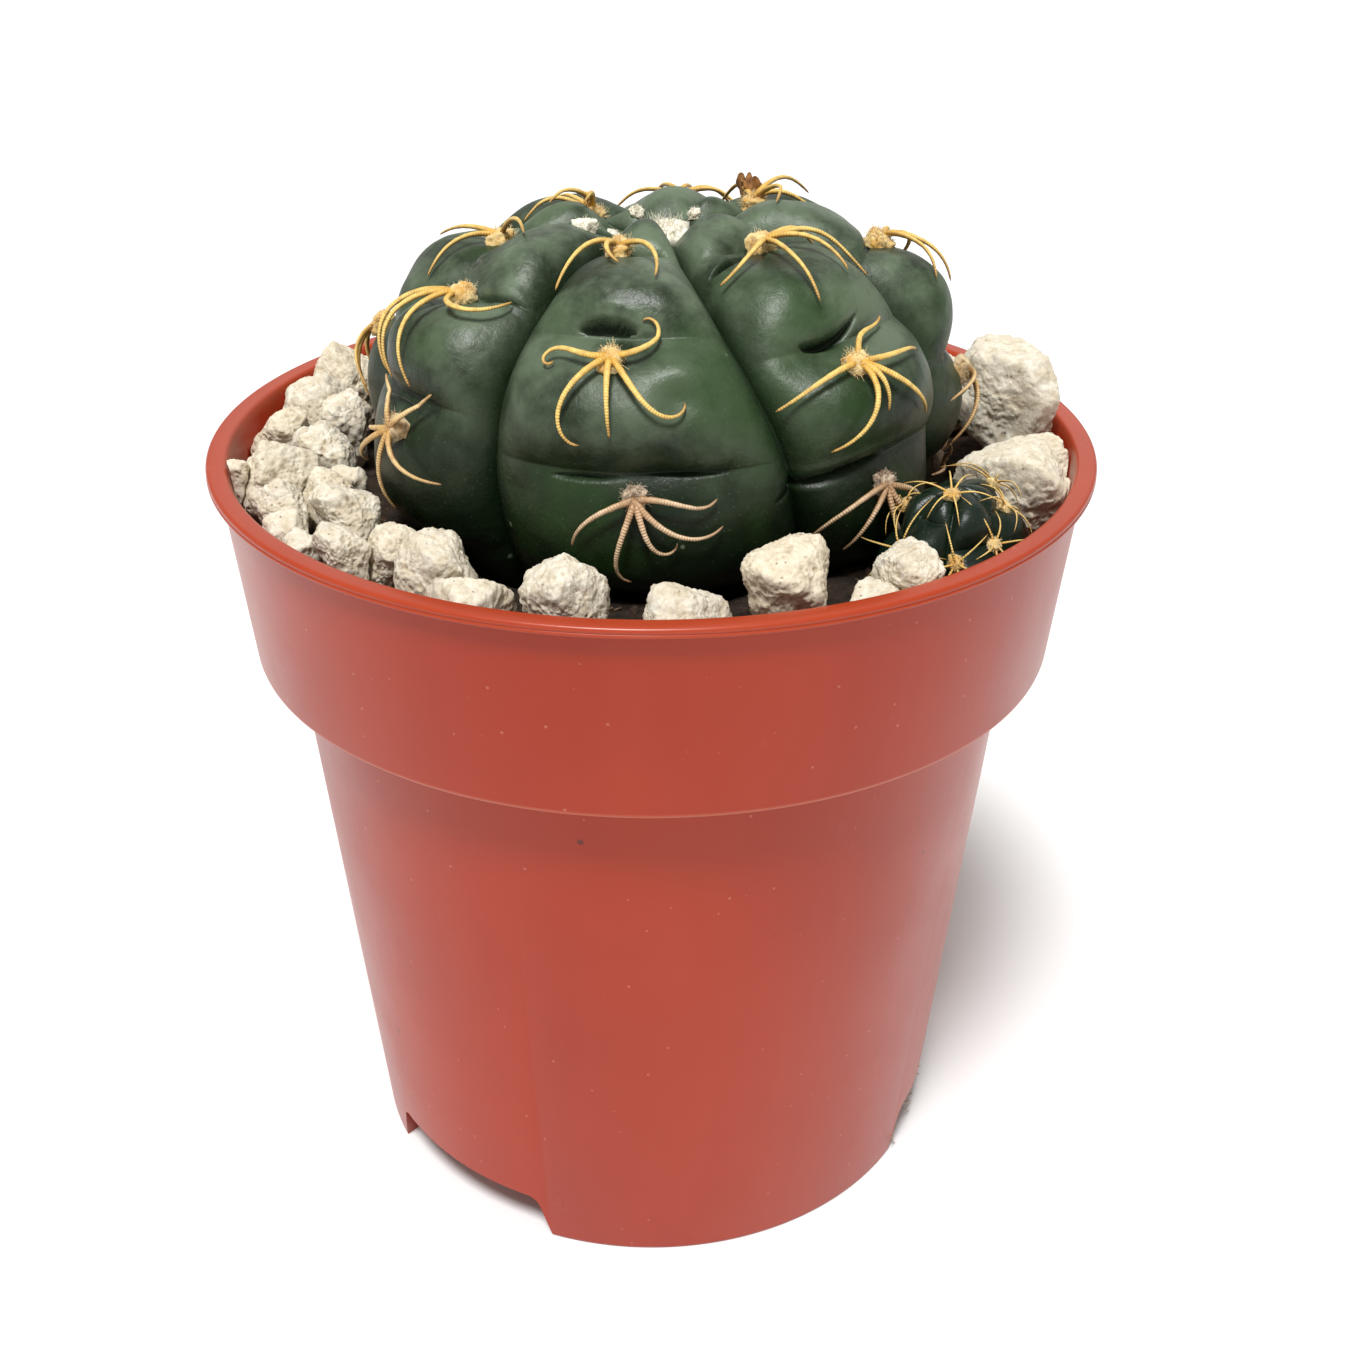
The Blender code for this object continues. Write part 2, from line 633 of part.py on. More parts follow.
def stone_planes(index):
    """Half-spaces a stone stays in: clear of its neighbours, the body, the offset and the soil."""
    centre = stone_centre(STONES[index])
    size = STONES[index][3]
    planes = [body_plane(centre), pup_plane(centre)]
    planes.append((Vector((0.0, 0.0, -1.0)), -(SOIL_TOP + 0.2 * MM + GAP)))
    for other, stone in enumerate(STONES):
        if other == index:
            continue
        between = stone_centre(stone) - centre
        if between.length < 14.0 * MM:
            share = size / (size + stone[3])
            normal = between.normalized()
            planes.append((normal, normal.dot(centre) + share * between.length - 0.5 * GAP))
    return planes


def make_stone(index, parts, material):
    generator = random.Random(100 + index)
    centre = stone_centre(STONES[index])
    size = STONES[index][3] * MM
    planes = stone_planes(index)
    spin = Matrix.Rotation(generator.uniform(0.0, 2.0 * math.pi), 3, "Z")
    squash = Matrix.Diagonal(STONE_SQUASH)
    underside = (centre.z - SOIL_TOP) / size
    bm = bmesh.new()
    bmesh.ops.create_icosphere(bm, subdivisions=2, radius=1.0)
    for vert in bm.verts:
        ray = spin @ (squash @ vert.co) * size * generator.uniform(1.0 - STONE_ROUGHNESS, 1.0 + STONE_ROUGHNESS)
        if ray.z < 0.0:
            ray.z *= underside
        share = 1.0
        for normal, offset in planes:
            toward = normal.dot(ray)
            if toward > 0.0:
                share = min(share, (offset - normal.dot(centre)) / toward)
        tip = centre + ray * share
        while math.hypot(tip.x, tip.y) > inner_radius(min(tip.z, POT_HEIGHT)) - GAP:
            share *= 0.97
            tip = centre + ray * share
        vert.co = tip
    name = f"pumice_{index + 1:02d}"
    return new_object(name, mesh_from(bm, name), parts, material, 35.0)


def make_pumice(parts):
    pumice = new_material("pumice", (0.72, 0.66, 0.54), 0.95)
    for index in range(len(STONES)):
        make_stone(index, parts, pumice)


def main():
    empty_scene()
    parts = new_collection("potted_round_cactus")
    helpers = new_collection("helpers")
    make_pot(parts, helpers)
    body = make_body(parts)
    tree = surface_tree(body)
    make_areoles(tree, parts, helpers)
    make_apex_wool(tree, parts)
    make_dried_flower(tree, parts)
    make_pup(parts, helpers)
    make_soil(parts, helpers)
    make_pumice(parts)


main()
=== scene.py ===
"""Looks of a round ribbed cactus in a thin terracotta-coloured plastic pot topped with pumice.

Shapes are worked out in millimetres in the CAD frame: +Z up, the pot's axis on Z, the front at -Y.
An azimuth is in degrees from the front towards +X; a polar angle is in degrees down from the apex.
"""

import itertools
import math
import random

import bmesh
import bpy
import numpy as np
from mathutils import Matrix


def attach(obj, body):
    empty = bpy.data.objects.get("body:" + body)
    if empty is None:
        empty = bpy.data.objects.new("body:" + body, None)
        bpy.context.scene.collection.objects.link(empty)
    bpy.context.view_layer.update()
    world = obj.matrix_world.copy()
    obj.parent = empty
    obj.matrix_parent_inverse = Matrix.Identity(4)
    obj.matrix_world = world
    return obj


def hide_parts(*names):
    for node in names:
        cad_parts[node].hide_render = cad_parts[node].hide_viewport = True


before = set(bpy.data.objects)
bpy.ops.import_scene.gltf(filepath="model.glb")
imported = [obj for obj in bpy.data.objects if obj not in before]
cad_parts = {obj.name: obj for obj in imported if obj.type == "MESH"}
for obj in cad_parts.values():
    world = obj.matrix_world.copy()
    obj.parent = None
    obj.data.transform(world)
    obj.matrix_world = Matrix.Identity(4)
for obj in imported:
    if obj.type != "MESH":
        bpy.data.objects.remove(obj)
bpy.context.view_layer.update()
MM = 0.001

# Pot
RIM_RADIUS = 42.5
POT_HEIGHT = 78.0
LIP_HEIGHT = 0.95
LIP_OVERHANG = 1.05
COLLAR_BOTTOM_RADIUS = 39.7
COLLAR_BOTTOM = 58.8
WALL_TOP_RADIUS = 36.07
BASE_RADIUS = 30.8
WALL = 1.0
FLOOR_UNDERSIDE = 5.6
FOOT_WIDTH = 1.6
NOTCH_CENTRES = (-41.5, 78.5, 198.5)
NOTCH_SPAN = 44.0
NOTCH_HEIGHT = 5.2
NOTCH_TAPER = 0.87
DRAIN_RADIUS = 2.6
DRAIN_CIRCLE = 17.0
DRAIN_COUNT = 6

# Soil
SOIL_TOP = 72.0
SOIL_GAP = 0.3
SOIL_BOWL_DEPTH = 11.0

# Cactus body: a superellipse of revolution with a dimpled apex
BODY_CENTRE = np.array([1.0, 0.0, 82.0])
BODY_RADIUS = 27.9
DOME_HEIGHT = 18.3
BOWL_DEPTH = 20.0
BODY_POWER = 2.3
DIMPLE_DEPTH = 3.8
DIMPLE_RADIUS = 6.0
GROOVE_DEPTH = 4.2
TUBERCLE_HEIGHT = 2.4
TUBERCLE_LEVEL = 0.7
FOLD_LEADS = (3.0, 8.0, 4.5)

# Relief: layers of noise as (size, height, seed)
SKIN_RELIEF = ((8.0, 0.22, 3), (3.4, 0.12, 4), (1.3, 0.03, 5))
SOIL_RELIEF = ((4.0, 0.55, 31), (1.4, 0.3, 32), (0.6, 0.12, 33))

# A spine is (direction, length, bend, end curl): 0 degrees points down the rib and 90 to its right.
SPREAD = ((-100, 7.5, 35), (-55, 8, 40), (-12, 7, 12), (35, 8, -30), (85, 7.5, -35))
LOWEST = ((-130, 4.5, -10), (-100, 5, 15), (100, 5, -15), (135, 4.5, 10))

# Each rib: left groove's azimuth, the groove's lean, polar angle of its young woolly tip, then its
# areoles as (azimuth, polar angle, spines).
RIBS = {
    "a": (-121, 0.0, 11, (
        (-94, 31, ((13, 8.2, 21, -14), (-20, 7.2, -28, 41), (133, 10, -70))),
        (-100, 77, ((-77, 7.4, 68), (-30, 8, 30), (10, 7, 25), (60, 7, -20))),
        (-99, 106, LOWEST),
    )),
    "b": (-80, 0.0, 14, (
        (-56, 47.5, ((24, 8.5, 165), (-58, 4, -16), (-66, 10.5, 110), (-48, 10, 85), (-15, 9.5, 50))),
        (-55, 84.5, (
            (-169, 5.5, 70), (-77, 4.5, 5), (132, 5.5, 6), (30, 7, 55), (-8, 7.5, 10), (-54, 8, 6),
        )),
    )),
    "c": (-36.5, 0.0, 9, (
        (-19, 22, ((-52, 7.5, 58), (-23, 5, 85), (74, 8, -86))),
        (-10.5, 56.5, (
            (-72, 7.7, -111, 378), (-50, 9.2, 39, 109), (5, 6.4, 1), (39, 9.1, -11, 162), (88, 7.2, 88, 121),
        )),
        (-5, 89, (
            (-79, 7.3, 49, 23), (-18, 8, -5, 93), (19, 6.5, -5, 166), (40, 8.4, 46, 43),
            (104, 7.1, -75, 112),
        )),
    )),
    "d": (26, 0.22, 10, (
        (44, 23.5, ((-46, 8.5, -23), (-29, 10, 36), (30, 8, -37), (72, 10.5, -80), (80, 6.5, -21))),
        (39, 63, (
            (-88, 8.2, 37, -15), (9, 8.5, -80), (23, 4.5, -14), (43, 8.5, 9), (77, 6.9, 29, -39),
            (163, 7.4, -127, 91),
        )),
        (43.5, 92.5, (
            (-106, 10.2, 109, 22), (-74, 7.5, 96, -28), (-25, 7.5, 132, -76), (14, 6.5, 81, -51),
            (80, 7, -50),
        )),
    )),
    "e": (71, 0.0, 13, (
        (93, 43, ((-60, 7, 30), (-20, 7, 20), (30, 8, 40), (80, 9, -60))),
        (88, 84.5, ((-100, 6, 40), (-45, 7, 30), (0, 8, -20), (60, 6, -40))),
        (88, 107, LOWEST),
    )),
    "f": (111, 0.0, 9, (
        (122, 18.5, ((-75, 7, -30), (-30, 8, 40), (20, 8, -20), (80, 8, -40))),
        (130, 62, SPREAD),
        (130, 91, SPREAD),
    )),
    "g": (153, 0.0, 11, (
        (174, 36, SPREAD),
        (175, 74, SPREAD),
    )),
    "h": (197, 0.0, 9, (
        (234, 14, ((-55, 5.3, 64, -50), (7, 6.3, -65, 91), (40, 7, -20), (70, 5, -20), (120, 4, -40))),
        (219, 62, SPREAD),
        (219, 91, SPREAD),
    )),
}

# Folds: (azimuth, polar angle, half width in degrees, tilt, curve, depth, reach, fullness); each is
# steep below its upper edge, and the fuller it is, the longer it stays deep
CREASES = (
    (-13, 45.3, 7.2, 0.0, 1.8, 2.3, 1.0, 0.35),
    (-14, 85.6, 7.0, -0.05, 0.5, 0.9, 0.6, 1.3),
    (4, 84.2, 7.5, 0.03, 0.4, 0.7, 0.55, 1.3),
    (25, 25.4, 8.5, -0.15, 0.8, 1.4, 0.9, 1.3),
    (-19, 18.8, 20.0, 0.0, -0.6, 1.9, 1.0, 1.3),
    (-94, 27.5, 14.0, 0.0, -0.6, 1.3, 0.9, 1.3),
    (124, 16.0, 18.0, 0.0, -0.6, 1.3, 0.9, 1.3),
    (174, 32.5, 14.0, 0.0, -0.6, 1.3, 0.9, 1.3),
    (232, 11.5, 20.0, 0.0, -0.6, 1.2, 0.9, 1.3),
    (93, 39.5, 14.0, 0.0, -0.6, 1.2, 0.9, 1.3),
    (39, 53.4, 9.0, -0.18, -1.6, 1.7, 1.1, 0.9),
    (36, 87.8, 15.0, -0.22, 1.4, 1.9, 1.1, 1.3),
    (-47, 42.6, 8.5, -0.2, 0.6, 1.0, 0.6, 1.3),
    (-72, 38.5, 7.0, -0.3, 1.0, 1.4, 1.0, 1.3),
    (-57, 79.0, 7.0, 0.0, 1.2, 0.5, 0.8, 1.3),
    (89, 77.0, 10.0, 0.0, 1.5, 1.0, 0.8, 1.3),
    (-98, 69.0, 10.0, 0.0, 1.5, 1.0, 0.8, 1.3),
    (130, 54.5, 9.0, 0.1, 2.0, 1.3, 1.0, 1.3),
    (130, 86.5, 11.0, -0.1, 1.2, 1.2, 0.8, 1.3),
    (175, 66.5, 10.0, 0.1, 2.0, 1.3, 1.0, 1.3),
    (219, 55.0, 9.0, -0.1, 2.0, 1.3, 1.0, 1.3),
    (219, 86.5, 11.0, 0.1, 1.2, 1.2, 0.8, 1.3),
)

# Bumps and dents: (azimuth, polar angle, radius, height)
BUMPS = (
    (3.5, 60.0, 2.0, 0.5), (2.0, 66.0, 1.6, -0.75), (-24, 56.0, 2.5, -0.4), (-27, 70.0, 4.0, 0.5),
    (-16, 40.5, 2.6, 0.5), (-3, 39.0, 2.8, 0.45), (12, 48.0, 5.0, 0.55), (-8, 78.0, 4.0, 0.5),
    (31, 43.0, 3.5, 0.7), (46, 44.0, 3.2, 0.5), (29, 61.0, 2.6, -0.6), (54, 60.0, 4.0, 0.5),
    (50, 72.0, 3.5, 0.6), (33, 76.0, 4.0, 0.4), (-48, 55.0, 3.5, 0.5), (-66, 62.0, 3.2, 0.6),
    (-46, 70.0, 4.5, 0.4), (-60, 76.0, 3.0, 0.5), (78, 50.0, 4.0, 0.7), (84, 60.0, 4.5, 0.7),
    (24, 19.0, 2.0, 0.5), (30, 15.0, 1.6, -0.4), (86, 46.0, 9.0, 0.9), (-60, 92.0, 8.0, 0.7),
    (-94, 36.0, 8.0, -1.2), (175, 25.0, 9.0, -0.9), (222, 20.0, 8.0, -0.8), (118, 28.0, 3.0, 0.6),
    (-104, 50.0, 4.0, 0.5), (-40, 32.0, 3.0, 0.4), (10, 36.0, 3.0, 0.35), (62, 33.0, 3.5, 0.5),
)

# Dried flower: azimuth and polar angle
FLOWER_PLACE = (133.0, 22.0)

# Offset
PUP_AZIMUTH = 51.0
PUP_CENTRE_DISTANCE = 34.0
PUP_CENTRE_HEIGHT = 74.4
PUP_RADII = np.array([7.4, 5.5, 6.8])
PUP_RIBS = 6
PUP_CAD_CLUSTERS = 3
PUP_AREOLES = ((-20, 17), (40, 64), (-50, 67), (0, 72), (130, 40), (-110, 50), (85, 45))

# Pumice on the soil: (azimuth, distance from the pot's axis, height, half size)
STONES = (
    (-117, 35.5, 77.4, 4.0), (-105.4, 34.7, 76.2, 4.3), (-94.6, 37.0, 76.4, 2.9), (-100, 31.5, 77.0, 2.6),
    (-84, 31.4, 77.0, 2.7), (-77, 35.8, 76.3, 4.1), (-69, 32.0, 75.9, 2.5), (-66.5, 36.9, 75.9, 2.8),
    (-57, 32.6, 76.6, 3.2), (-47, 36.2, 76.3, 2.7), (-44.5, 32.0, 75.4, 2.9), (-34, 32.6, 75.3, 3.9),
    (-24.5, 36.2, 74.4, 3.9), (-12.5, 33.6, 75.5, 4.0), (4.2, 35.2, 74.4, 4.2), (18.2, 34.2, 77.0, 3.9),
    (34.7, 37.2, 76.6, 3.0), (71, 35.2, 76.0, 5.2), (98.4, 35.0, 79.6, 5.3), (86, 38.0, 75.6, 2.8),
    (120, 35.0, 76.6, 4.5), (134, 34.4, 76.0, 4.6), (148, 34.6, 76.2, 4.4), (163, 34.2, 76.0, 4.7),
    (178, 34.4, 76.4, 4.5), (193, 34.2, 76.0, 4.6), (209, 34.6, 76.2, 4.6), (226, 34.6, 76.6, 4.5),
)
SMALL_STONES = (
    (-88, 33.6, 77.1, 1.6), (-58.4, 38.0, 75.9, 2.2), (-73, 29.8, 76.0, 1.9), (-52, 38.4, 75.9, 1.8),
    (29, 38.2, 74.9, 2.5), (-76, 39.6, 77.6, 1.2), (110, 39.6, 76.4, 1.8), (76, 39.6, 75.0, 1.9),
)
STONE_SHARPNESS = 11.0
NEIGHBOUR_REACH = 14.0

# Root hairs at a notch: (azimuth, height, count)
ROOT_TUFTS = ((58.0, 1.5, 6), (72.0, 4.6, 7), (66.0, 3.0, 4))

# Stage: metres and degrees
FLOOR_HALF = 3.0
CAMERA_PLACE = (0.0, -0.16269, 0.13998)
CAMERA_ANGLES = (28.7205, 0.6512, 0.2288)  # pitch down, yaw, roll
CAMERA_LENS = 47.25
CAMERA_SENSOR = 36.0
SKY_COLOUR = (1.0, 0.985, 0.94, 1.0)
SKY_STRENGTH = 0.42


# Numbers: smooth random fields over points in millimetres


def hashed(cells, seed):
    """A repeatable random value in 0..1 for each integer cell."""
    value = cells[..., 0] * 73856093 ^ cells[..., 1] * 19349663 ^ cells[..., 2] * 83492791
    value = (value + seed * 2654435761) & 0xFFFFFFFF
    value = ((value ^ (value >> 16)) * 73244475) & 0xFFFFFFFF
    value = ((value ^ (value >> 16)) * 73244475) & 0xFFFFFFFF
    return (value ^ (value >> 16)) / 4294967295.0


def noise(points, size, seed=0):
    """A smooth random field from -1 to 1, with features of the given size."""
    scaled = points / size + 100.0
    cells = np.floor(scaled).astype(np.int64)
    part = scaled - cells
    part = part * part * (3.0 - 2.0 * part)
    total = np.zeros(points.shape[:-1])
    for corner in itertools.product((0, 1), repeat=3):
        corner = np.array(corner)
        weight = np.prod(np.where(corner == 1, part, 1.0 - part), axis=-1)
        total += weight * hashed(cells + corner, seed)
    return 2.0 * total - 1.0


def layered_noise(points, size, seed=0, layers=4, gain=0.5):
    total = 0.0
    weight = 1.0
    for layer in range(layers):
        total = total + weight * noise(points, size / 2.0**layer, seed + layer)
        weight *= gain
    return total


def relief(points, layers):
    return sum(height * noise(points, size, seed) for size, height, seed in layers)


def pits(points, size, seed, share):
    """Round hollows: 1 at the middle of a pit, 0 outside it."""
    scaled = points / size + 100.0
    cells = np.floor(scaled).astype(np.int64)
    deepest = np.zeros(points.shape[:-1])
    for corner in itertools.product((-1, 0, 1), repeat=3):
        cell = cells + np.array(corner)
        middle = cell + np.stack([hashed(cell, seed + k) for k in range(3)], axis=-1)
        reach = 0.18 + 0.34 * hashed(cell, seed + 5)
        present = hashed(cell, seed + 7) < share
        away = np.linalg.norm(scaled - middle, axis=-1)
        depth = np.clip(1.0 - (away / reach) ** 2, 0.0, 1.0) * present * (reach / 0.5)
        deepest = np.maximum(deepest, depth)
    return deepest


def unit(vectors):
    return vectors / np.maximum(np.linalg.norm(vectors, axis=-1, keepdims=True), 1e-9)


def outward(azimuth):
    """The level unit vectors that point along azimuths in degrees."""
    angle = np.radians(azimuth)
    return np.stack([np.sin(angle), -np.cos(angle), np.zeros_like(angle)], axis=-1)


def spot(azimuth, radius, height):
    """The point, or the ring of points, at a distance from the pot's axis and a height."""
    points = outward(np.asarray(azimuth, dtype=float)) * radius
    points[..., 2] = height
    return points


def turn_level(points, angle):
    """Points turned about Z by an angle in radians."""
    cosine, sine = math.cos(angle), math.sin(angle)
    x, y, z = np.moveaxis(points, -1, 0)
    return np.stack([x * cosine - y * sine, x * sine + y * cosine, z], axis=-1)


def smooth_step(low, high, value):
    share = np.clip((value - low) / (high - low), 0.0, 1.0)
    return share * share * (3.0 - 2.0 * share)


# Meshes


def mesh_object(name, points, faces, material, fields=None):
    """An object from points in millimetres, with float fields for its material to read."""
    mesh = bpy.data.meshes.new(name)
    mesh.from_pydata((np.asarray(points) * MM).tolist(), [], faces)
    mesh.materials.append(material)
    mesh.shade_smooth()
    for field, values in (fields or {}).items():
        attribute = mesh.attributes.new(field, "FLOAT", "POINT")
        attribute.data.foreach_set("value", np.asarray(values, dtype=np.float32))
    obj = bpy.data.objects.new(name, mesh)
    bpy.context.scene.collection.objects.link(obj)
    return obj


def place(obj, slot, *nodes):
    """Puts a piece on the frame under the root body and hides the CAD nodes that it stands for; the slot is
    not used.
    """
    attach(obj, "root")
    if nodes:
        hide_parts(*nodes)


def ring_faces(rows, columns):
    """Quads between rows of points that each go round once."""
    row = np.arange(rows - 1)[:, None] * columns
    here = np.arange(columns)[None, :]
    beyond = (here + 1) % columns
    corners = [row + here, row + beyond, row + columns + beyond, row + columns + here]
    return np.stack(corners, axis=-1).reshape(-1, 4).tolist()


def closed_rings(grid):
    """Points and faces of a surface of rings, with a fan at its first and last ring."""
    rows, columns = grid.shape[:2]
    points = grid.reshape(-1, 3)
    faces = ring_faces(rows, columns)
    top = len(points)
    caps = [grid[0].mean(axis=0), grid[-1].mean(axis=0)]
    last = (rows - 1) * columns
    for column in range(columns):
        beyond = (column + 1) % columns
        faces.append([top, beyond, column])
        faces.append([top + 1, last + column, last + beyond])
    return np.vstack([points, caps]), faces


class Bundle:
    """Many small solids gathered into one object."""

    def __init__(self):
        self.points = []
        self.faces = []
        self.fields = {}
        self.count = 0

    def add(self, points, faces, **fields):
        self.points.append(points)
        self.faces.extend([[self.count + corner for corner in face] for face in faces])
        for name, values in fields.items():
            values = np.broadcast_to(np.asarray(values, dtype=float), (len(points),))
            self.fields.setdefault(name, []).append(values)
        self.count += len(points)

    def build(self, name, material):
        fields = {field: np.concatenate(values) for field, values in self.fields.items()}
        return mesh_object(name, np.vstack(self.points), self.faces, material, fields)


def tube(path, radii, sides, squash=1.0, upward=(0.0, 0.0, 1.0)):
    """A closed tube along a path; also how far along it each point is, and how near to its top line."""
    path = np.asarray(path, dtype=float)
    along = unit(np.gradient(path, axis=0))
    side = np.cross(along[0], upward)
    if np.linalg.norm(side) < 0.1:
        side = np.cross(along[0], (1.0, 0.0, 0.0))
    side = side / np.linalg.norm(side)
    angles = 2.0 * np.pi * np.arange(sides) / sides
    rings = []
    for index, middle in enumerate(path):
        side = side - along[index] * np.dot(side, along[index])
        side = side / np.linalg.norm(side)
        up = np.cross(side, along[index])
        ring = np.outer(np.cos(angles), side) + squash * np.outer(np.sin(angles), up)
        rings.append(middle + radii[index] * ring)
    points, faces = closed_rings(np.array(rings))
    share = np.repeat(np.linspace(0.0, 1.0, len(path)), sides)
    top = np.tile(np.sin(angles), len(path))
    return points, faces, np.concatenate([share, [0.0, 1.0]]), np.concatenate([top, [0.0, 0.0]])


ICO_CACHE = {}


def icosphere(level):
    """Unit directions and triangles of an icosphere."""
    if level not in ICO_CACHE:
        bm = bmesh.new()
        bmesh.ops.create_icosphere(bm, subdivisions=level, radius=1.0)
        directions = np.array([vert.co[:] for vert in bm.verts])
        faces = [[vert.index for vert in face.verts] for face in bm.faces]
        bm.free()
        ICO_CACHE[level] = (directions, faces)
    return ICO_CACHE[level]


# Materials


class Shader:
    """A Principled material whose node tree is built a few nodes at a time."""

    def __init__(self, name, **constants):
        self.material = bpy.data.materials.new(name)
        self.material.use_nodes = True
        self.nodes = self.material.node_tree.nodes
        self.links = self.material.node_tree.links
        self.principled = self.nodes["Principled BSDF"]
        for socket, value in constants.items():
            self.principled.inputs[socket.replace("_", " ")].default_value = value
        self.place = self.nodes.new("ShaderNodeNewGeometry").outputs["Position"]
        self.tone = None

    def link(self, source, target):
        self.links.new(source, target)

    def add(self, kind, output, **inputs):
        """A new node with its inputs fed; gives back one of its outputs."""
        node = self.nodes.new("ShaderNode" + kind)
        for socket, value in inputs.items():
            self.feed(node.inputs[socket.replace("_", " ")], value)
        return node.outputs[output]

    def noise(self, scale, detail=4.0, roughness=0.55, stretch=None):
        place = self.stretched(stretch)
        return self.add("TexNoise", "Fac", Scale=scale, Detail=detail, Roughness=roughness, Vector=place)

    def cells(self, scale):
        return self.add("TexVoronoi", "Distance", Scale=scale, Vector=self.place)

    def stretched(self, stretch):
        if stretch is None:
            return self.place
        node = self.nodes.new("ShaderNodeVectorMath")
        node.operation = "MULTIPLY"
        node.inputs[1].default_value = stretch
        self.link(self.place, node.inputs[0])
        return node.outputs["Vector"]

    def field(self, name):
        node = self.nodes.new("ShaderNodeAttribute")
        node.attribute_name = name
        return node.outputs["Fac"]

    def remap(self, value, low, high, to_low=0.0, to_high=1.0):
        bounds = {"From_Min": low, "From_Max": high, "To_Min": to_low, "To_Max": to_high}
        return self.add("MapRange", "Result", Value=value, **bounds)

    def math(self, operation, *values):
        node = self.nodes.new("ShaderNodeMath")
        node.operation = operation
        for socket, value in zip(node.inputs, values):
            self.feed(socket, value)
        return node.outputs["Value"]

    def mix(self, share, first, second):
        node = self.nodes.new("ShaderNodeMix")
        node.data_type = "RGBA"
        for socket, value in (("Factor", share), ("A", first), ("B", second)):
            self.feed(node.inputs[socket], value)
        return node.outputs["Result"]

    def feed(self, socket, value):
        if isinstance(value, (int, float)):
            socket.default_value = value
        elif isinstance(value, tuple):
            socket.default_value = (*value, 1.0)
        else:
            self.link(value, socket)

    def base(self, mask, low, high, first, second):
        """Starts the tone as a blend of two."""
        self.tone = self.mix(self.remap(mask, low, high), first, second)

    def paint(self, mask, low, high, colour, cover):
        """Lays a colour over the tone, from none of it where the mask is low to its full cover."""
        self.tone = self.mix(self.remap(mask, low, high, 0.0, cover), self.tone, colour)

    def bump(self, height, distance, strength):
        normal = self.principled.inputs["Normal"]
        before = {"Normal": normal.links[0].from_socket} if normal.is_linked else {}
        raised = self.add("Bump", "Normal", Height=height, Distance=distance, Strength=strength, **before)
        self.link(raised, normal)

    def finish(self, roughness):
        self.feed(self.principled.inputs["Base Color"], self.tone)
        self.feed(self.principled.inputs["Roughness"], roughness)
        return self.material


def height_of(shader):
    return shader.add("SeparateXYZ", "Z", Vector=shader.place)


def pot_plastic():
    """Moulded plastic: clouded and streaked, with pale scuffs and flecks, a few dark specks and a painted
    highlight along the collar's bottom edge.
    """
    shader = Shader("pot_plastic", IOR=1.5, Specular_IOR_Level=0.38)
    streak = shader.noise(90.0, 4.0, stretch=(1.0, 1.0, 0.12))
    scuff = shader.noise(240.0, 6.0, 0.7, stretch=(1.0, 1.0, 0.45))
    height = height_of(shader)
    edge = shader.math("ABSOLUTE", shader.math("SUBTRACT", height, COLLAR_BOTTOM * MM + 0.0001))
    shader.base(shader.noise(38.0, 3.0), 0.35, 0.65, (0.330, 0.0215, 0.0012), (0.37, 0.0265, 0.002))
    shader.paint(streak, 0.4, 0.75, (0.42, 0.046, 0.012), 0.35)
    shader.paint(scuff, 0.66, 0.74, (0.50, 0.14, 0.085), 0.28)
    shader.paint(shader.cells(420.0), 0.075, 0.035, (0.60, 0.24, 0.17), 0.45)
    shader.paint(shader.cells(95.0), 0.034, 0.022, (0.09, 0.015, 0.01), 0.8)
    shader.paint(height, 0.07695, 0.07715, (0.42, 0.075, 0.030), 0.35)
    # Painted highlight: a pale line along the collar's bottom edge.
    shader.paint(edge, 0.0004, 0.0001, (0.56, 0.165, 0.085), 0.55)
    shader.bump(shader.noise(1400.0, 2.0), 0.00002, 0.35)
    shader.bump(shader.noise(120.0, 3.0), 0.00012, 0.3)
    gloss = shader.remap(shader.noise(60.0, 5.0, 0.6), 0.3, 0.7, 0.27, 0.36)
    return shader.finish(shader.math("ADD", gloss, shader.remap(scuff, 0.66, 0.74, 0.0, 0.14)))


def skin(name, dark, light, fresh, base_roughness):
    """Waxy green skin: paler towards the top, partly greyish bloom and partly painted sheen of the overhead
    light, with painted shade in the grooves and folds, and fine pale speckles.
    """
    shader = Shader(name, IOR=1.45, Specular_IOR_Level=0.36)
    # Paler towards the top: partly greyish bloom, partly a painted sheen where the overhead light falls.
    bloom_and_top_sheen = shader.remap(height_of(shader), 0.079, 0.0955)
    cloud = shader.remap(shader.noise(130.0, 5.0, 0.62), 0.38, 0.58, 0.12, 1.0)
    shader.tone = shader.mix(shader.math("MULTIPLY", bloom_and_top_sheen, cloud), dark, light)
    shader.paint(shader.noise(75.0, 3.0), 0.52, 0.70, fresh, 0.7)
    # Painted shade: darker next to the grooves between the ribs.
    shader.paint(shader.field("across"), 0.80, 0.99, (0.006, 0.017, 0.005), 0.8)
    # Painted shade: darker where the creases of the skin cut deepest.
    shader.paint(shader.field("fold"), 0.1, 0.8, (0.006, 0.012, 0.005), 0.8)
    shader.paint(shader.cells(1500.0), 0.17, 0.05, (0.10, 0.15, 0.09), 0.3)
    shader.paint(shader.cells(150.0), 0.045, 0.02, (0.22, 0.27, 0.17), 0.7)
    shader.bump(shader.noise(420.0, 3.0), 0.00018, 0.5)
    shader.bump(shader.noise(1500.0, 4.0, 0.7), 0.00009, 0.8)
    sheen = shader.noise(210.0, 5.0, 0.6)
    return shader.finish(shader.remap(sheen, 0.32, 0.68, base_roughness, base_roughness + 0.2))


def horn_tone(shader, pale_from, foot, middle, tip, cover):
    """The foot's tone, then the middle's, then some of the tip's."""
    along = shader.field("along")
    tone = shader.mix(shader.remap(along, 0.0, pale_from), foot, middle)
    return shader.mix(shader.remap(along, 0.7, 1.0, 0.0, cover), tone, tip)


